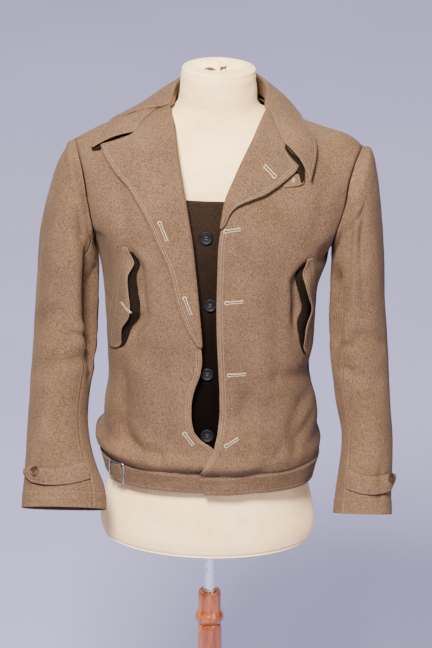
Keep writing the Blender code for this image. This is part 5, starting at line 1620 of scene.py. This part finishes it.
def makeButton(name, r, place, normal, material, slot):
    # a dished disc with four holes, sewn through with two bars of three threads
    profile = [(r * out, r * up) for out, up in buttonProfile]
    centre = lean(place + normal * seamGap * 1.5)
    direction = unit(lean(place + normal) - lean(place))
    profile = refined(profile, r * 0.08)
    button = turnedPiece(name + "_disc", profile, material, slot, "figure", 48, (centre, direction))
    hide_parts(name)
    frameX = unit(np.cross(direction, np.array([0.0, 0.3, 1.0])))
    frameY = np.cross(direction, frameX)
    paths = []
    for sign in (-1, 1):
        for k in range(3):
            aside = sign * r * 0.17 + (k - 1) * r * 0.045
            t = np.linspace(-1, 1, 9)
            rise = r * (0.16 + 0.1 * (1 - t * t))
            paths.append(centre + frameY * aside + frameX * (t * r * 0.19)[:, None] + direction * rise[:, None])
    tubes(name + "_thread", paths, r * 0.032, 6, darkThreadAndShade)
    holes = []
    for sx in (-1, 1):
        for sy in (-1, 1):
            turn = np.linspace(0, 2 * math.pi, 16, endpoint=False)
            ring = centre + frameX * sx * r * 0.2 + frameY * sy * r * 0.17 + direction * r * 0.185
            holes.append(ring + (frameX * np.cos(turn)[:, None] + frameY * np.sin(turn)[:, None]) * r * 0.085)
    tubes(name + "_eyes", holes, r * 0.022, 6, material, slot=slot, loop=True)


frontButtonPlaces = [(-0.0182, 1.2798), (-0.0094, 1.1692), (-0.0113, 1.0507), (-0.0087, 0.948)]
for number, (x, z) in enumerate(frontButtonPlaces, 1):
    x, z = np.array(x), np.array(z)
    place = bodyPoint(x, z, nearestLift(x, z) * 0.5 - clothThick - flapBehind + seamGap - flapDepth(z))
    makeButton("button_" + str(number), 0.0105, place, bodyNormal(x, z), darkPlastic, "dark_plastic")
for side, spec in sleeveSpecs.items():
    angle, at = np.radians(np.array(spec["button"])), np.array(spec["tabLevels"][1])
    place = sleeveFace(spec, angle, at, clothThick + 0.003 + 3 * seamGap)
    normal = sleeveNormal(spec["table"], angle, at)
    makeButton("cuff_button_" + side, 0.0084, place, normal, brownPlastic, "brown_plastic")
print("cuffs and buttons made")


# topstitching and buttonholes
nearRow, farRow = 0.0046, 0.0085  # the two rows of stitches from the front's edge
clothPlaces = {}


def sewGarment():
    # rows of stitches beside every edge and seam that shows them, and where the buttonholes can lie
    edges, rows = [], []
    for name, cloth in fronts.items():
        grid = withNormals(cloth["face"], cloth["inner"])
        turned = withNormals(cloth["inner"], cloth["face"])  # the lapel shows the cloth's other side
        rowZ, lapel = cloth["rowZ"], cloth["lapelRows"]
        below = np.where((rowZ < rowZ[lapel][0]) & (rowZ > bandTopZ + 0.002))[0]
        for distance in (nearRow, farRow):
            edges.append(stitches(besideEdge(grid, below, frontCols - 1, -1, distance)))
        inside = np.where(lapel)[0]
        for skipped, distance in ((3, nearRow), (8, farRow)):
            edges.append(stitches(besideEdge(turned, inside[skipped:], grid.shape[1] - 1, -1, distance)))
        top = np.swapaxes(turned[:inside[-1] + 2], 0, 1)
        tip = range(grid.shape[1] - 12, grid.shape[1] - 2)
        edges.append(stitches(besideEdge(top, tip, inside[-1] + 1, -1, nearRow)))
        clothPlaces[name] = ClothPlaces(grid[:, 2:frontCols - 2])
        clothPlaces[name + "_lapel"] = ClothPlaces(turned[inside][:, frontCols + 11:])
    clothPlaces["throat_tab"] = ClothPlaces(throatGrid)
    rows.append(stitches(besideEdge(collarFall, range(2, collarSpec["rows"] - 2), 0, 1, nearRow)))
    for (_, part), sleeve in sleeves.items():
        grid = sleeve["grid"]
        rows.append(stitches(grid[int(np.argmin(np.abs(sleeve["at"] - hemAt)))]))
        if part == "top":
            rows += [stitches(grid[12:, 2]), stitches(grid[12:, -3])]  # beside the front and the back seam
    for grid in bands:
        rows += [stitches(grid[2]), stitches(grid[13])]
    for grid in cuffTabs:
        rows.append(stitches(np.concatenate([grid[2, :-2], grid[2:16, -3], grid[15, -3::-1]])))
    for name, grid in pocketFlaps.items():
        grid = facing(grid[..., :3], grid[..., :3].mean(axis=(0, 1)) + np.array([0, 1, 0]))
        rows += [stitches(grid[2:-2, 5]), stitches(besideEdge(grid, range(3, 67), 17, -1, 0.004))]
        clothPlaces[name] = ClothPlaces(grid)
    rows += [stitches(strapGrid[1]), stitches(strapGrid[10])]
    tubes("edge_stitching", np.concatenate(edges), 0.00036, 5, khakiThread)
    tubes("topstitching", np.concatenate(rows), 0.00032, 5, brownThread)


sewGarment()
# name, cloth, x, z of the middle, then from the eyelet to the bar
buttonholes = [
    ("hole_lapel_right_1", "front_right_cloth_lapel", -0.0848, 1.2926, 0.0125, -0.028, 1.0),
    ("hole_lapel_right_2", "front_right_cloth_lapel", -0.0444, 1.1753, 0.011, -0.0285, 1.0),
    ("hole_front_right", "front_right_cloth", -0.0383, 0.9476, 0.015, -0.02, 1.0),
    ("hole_front_left_1", "front_left_cloth", 0.0215, 1.297, 0.025, 0.004, 1.0),
    ("hole_front_left_2", "front_left_cloth", 0.0276, 1.1803, 0.0275, 0.002, 1.0),
    ("hole_front_left_3", "front_left_cloth", 0.0346, 1.0583, 0.0275, 0.001, 1.0),
    ("hole_front_left_4", "front_left_cloth", 0.0297, 0.9455, 0.0205, 0.012, 1.0),
    ("hole_lapel_left", "front_left_cloth_lapel", 0.0779, 1.3847, -0.0175, 0.0175, 1.0),
    ("hole_throat_tab", "throat_tab", 0.115, 1.3665, 0.001, 0.0065, 0.6),
    ("hole_flap_right", "pocket_flap_right", -0.1402, 1.1577, 0.016, -0.0115, 0.7),
]
for name, cloth, x, z, dx, dz, wide in buttonholes:
    buttonhole(name, clothPlaces[cloth], x, z, dx, dz, wide)
print("sewing made")


# the dress form and its stand
def formRing(z, angle):
    # half width * sin(angle), depth * cos(angle), deeper in front than behind
    depth = np.where(np.cos(angle) > 0, track(formRings, 2, z), track(formRings, 3, z))
    return stack(formCentreX + track(formRings, 1, z) * np.sin(angle), -depth * np.cos(angle), z)


def makeForm():
    # rings round the body, then the neck's gathered top: pleats that deepen towards the knot
    heights = np.concatenate([np.linspace(formBaseZ, 0.75, 12)[:-1], np.linspace(0.75, 1.38, 110)[:-1],
                              np.linspace(1.38, 1.513, 46)[:-1], np.linspace(1.513, formTopZ, 9)])
    turn = np.linspace(0, 2 * math.pi, 144, endpoint=False)
    z = heights[:, None]
    rings = formRing(z + 0 * turn, turn[None, :] + 0 * z)
    centre = stack(formCentreX, 0.0, z)
    # under the garment the cover is 1.2 mm smaller, so that no crease reaches it
    covered = smooth(z, 0.87, 0.905) * (1 - smooth(z, 1.46, 1.485))
    flat = rings - centre
    size = np.linalg.norm(flat, axis=-1)
    soft = waves(turn[None, :] * 0.14 + 0 * z, z + 0 * turn, 0.05, 81) * 0.0005
    wrinkled = waves(turn[None, :] * 0.03 + 0 * z, z + 0.004 * np.sin(2 * turn), 0.01, 83) * 0.0007
    soft = soft + wrinkled * smooth(z, 1.4, 1.44)
    rings = centre + flat * ((size - 0.0012 * covered + soft) / size)[..., None]
    top = rings[-1]
    lid = []
    for q in np.linspace(0, 1, 26)[1:-1]:
        gathered = 0.0014 + 0.0034 * smooth(q, 0.45, 0.8)
        pleat = np.cos(turn * 17 + 0.9 * np.sin(3 * turn)) * gathered
        pleat = pleat * math.sin(math.pi * min(q * 1.15, 1)) ** 0.7
        sink = -0.0022 * smooth(q, 0.1, 0.55) + 0.0118 * smooth(q, 0.6, 0.84) - 0.0085 * smooth(q, 0.88, 1.0)
        ring = top * (1 - q) + np.array([-0.002, 0.002, formTopZ]) * q
        ring[:, 2] = formTopZ + pleat + sink
        lid.append(ring)
    under = np.array([rings[0] * [q, q, 1] for q in (0.0635, 0.12, 0.25, 0.55)])
    points = np.concatenate([under, rings, np.array(lid)])
    mesh = meshFrom("dress_form_cover", lean(points.reshape(-1, 3)), gridQuads(*points.shape[:2], wrap=True))
    obj = link("dress_form_cover", mesh, canvas, "figure", "canvas")
    mend(obj.data, 60, True)
    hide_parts("dress_form")


makeForm()
# painted shade in the gaps between the gathers of the neck's cover: dark spindles, half sunk in the lid
gapEnds = [(-0.027, -0.02, -0.009, -0.023), (-0.002, -0.02, 0.004, -0.012), (0.004, -0.018, 0.01, 0.004)]
t = np.linspace(0, 1, 12)
gapPaths = [stack(x0 + (x1 - x0) * t, y0 + (y1 - y0) * t, 1.5196 + 0.002 * np.sin(math.pi * t))
            for x0, y0, x1, y1 in gapEnds]
gapRadii = 0.0005 + 0.0019 * np.sin(math.pi * t) ** 0.8
tubes("neck_gathers_painted_shade", lean(np.array(gapPaths)), gapRadii, 10, darkThreadAndShade, slot="canvas")
# half sections of the stand's turned pieces: radius, height
top, seat = postTopZ, seatRadius
bore = rodRadius + seamGap
foot = baseTopZ + seamGap
postEnd = rodFootZ - 0.03 - 0.004
postProfile = [
    (0.0, postEnd), (bore, postEnd), (bore, top - seatDepth), (seat, top - seatDepth), (seat, top),
    (0.0176, top), (0.0188, top - 0.003), (0.0188, top - 0.032), (0.02, top - 0.036), (0.0232, top - 0.042),
    (0.0236, top - 0.048),
    (0.0205, top - 0.054), (0.0172, top - 0.057), (0.0188, top - 0.061), (0.02, top - 0.07), (0.0212, 0.42),
    (0.0228, 0.3), (0.0222, 0.2), (0.0196, 0.13), (0.018, 0.112), (0.024, 0.104), (0.0258, 0.098),
    (0.024, 0.092), (0.02, 0.086), (0.026, 0.07), (0.044, 0.052), (0.054, 0.044), (0.056, foot + 0.003),
    (0.055, foot), (0.0, foot)]
r = baseRadius
baseProfile = [
    (0.0, baseTopZ), (0.062, baseTopZ), (0.066, baseTopZ - 0.002), (r * 0.72, baseTopZ - 0.006),
    (r * 0.82, baseTopZ - 0.01), (r * 0.86, baseTopZ - 0.016), (r * 0.94, baseTopZ - 0.016),
    (r * 0.985, baseTopZ - 0.02), (r, baseTopZ - 0.027), (r * 0.985, 0.002), (r * 0.975, 0.0), (0.0, 0.0)]
outer = seat - seamGap
ferruleProfile = [
    (bore, top + 0.004), (outer - 0.001, top + 0.004), (outer, top + 0.003), (outer, top - seatDepth + seamGap),
    (bore, top - seatDepth + seamGap), (bore, top + 0.004)]
rodTop = formBaseZ + rodInForm
bevel = 0.0006
rodProfile = [
    (0.0, rodTop), (rodRadius - bevel, rodTop), (rodRadius, rodTop - bevel), (rodRadius, rodFootZ + bevel),
    (rodRadius - bevel, rodFootZ), (0.0, rodFootZ)]
# name, half section, material, slot, body, longest step along the section
standPieces = [
    ("post", postProfile, wood, "wood", "stand", 0.006), ("base", baseProfile, wood, "wood", "stand", 0.012),
    ("ferrule", ferruleProfile, chrome, "steel", "stand", 0.002),
    ("rod", rodProfile, chrome, "steel", "figure", 0.02)]
for name, profile, material, slot, body, step in standPieces:
    piece = turnedPiece(name + "_turned", refined(profile, step), material, slot, body)
    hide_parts(name)
print("form and stand made")


# the stage, lights and camera
def makeStage():
    # a wide pale floor fills the picture behind the object, because the camera looks down
    across = np.linspace(-16, 16, 9)
    points = stack(across[None, :], across[:, None], -0.0008)
    mesh = meshFrom("studio_floor", points.reshape(-1, 3), gridQuads(9, 9))
    floor = newObject("studio_floor", mesh)
    material, tree, shader, place = startMaterial("backdrop", 0.95)
    soft = ramp(tree, noise(tree, place, 1.3, 2.0), [(0.3, floorTones[0]), (0.7, floorTones[1])])
    tree.links.new(soft, shader.inputs["Base Color"])
    mesh.materials.append(material)


def makeLight(name, place, target, size, power, colour):
    # a soft rectangle that looks at its target
    lamp = bpy.data.lights.new(name, "AREA")
    lamp.shape = "RECTANGLE"
    lamp.size, lamp.size_y = size
    lamp.energy = power
    lamp.color = colour
    obj = newObject(name, lamp)
    obj.location = place
    obj.rotation_euler = (Vector(target) - Vector(place)).to_track_quat("-Z", "Y").to_euler()


floorTones = ((0.318, 0.3, 0.49), (0.34, 0.322, 0.515))
makeStage()
makeLight("key", (-0.6, -3.0, 3.9), (0, 0, 1.1), (0.9, 0.9), 700, (1.0, 0.965, 0.93))
makeLight("fill", (2.5, -2.9, 1.9), (0, 0, 1.05), (1.6, 1.6), 48, (0.98, 0.98, 1.0))
makeLight("floor_wash", (0.0, 4.4, 5.4), (0, 4.4, 0.0), (8.5, 8.5), 660, (1.0, 1.0, 1.0))
world = bpy.data.worlds.new("studio")
bpy.context.scene.world = world
world.use_nodes = True
background = world.node_tree.nodes["Background"]
background.inputs["Color"].default_value = (0.93, 0.95, 1.0, 1)
background.inputs["Strength"].default_value = 0.17

# the camera of the photograph: a long lens a little above the garment, looking down
target = Vector((0.0107, 0.0, 1.0915))
elevation = math.radians(20.3)
cameraDistance = 5.5
ahead = Vector((0, math.cos(elevation), -math.sin(elevation)))
lens = bpy.data.cameras.new("photo_camera")
lens.sensor_fit = "VERTICAL"
lens.sensor_height = 36
lens.sensor_width = 24
lens.lens = 190.97
lens.clip_end = 50
camera = newObject("photo_camera", lens)
camera.location = target - ahead * cameraDistance
camera.rotation_euler = ahead.to_track_quat("-Z", "Y").to_euler()
bpy.context.scene.camera = camera
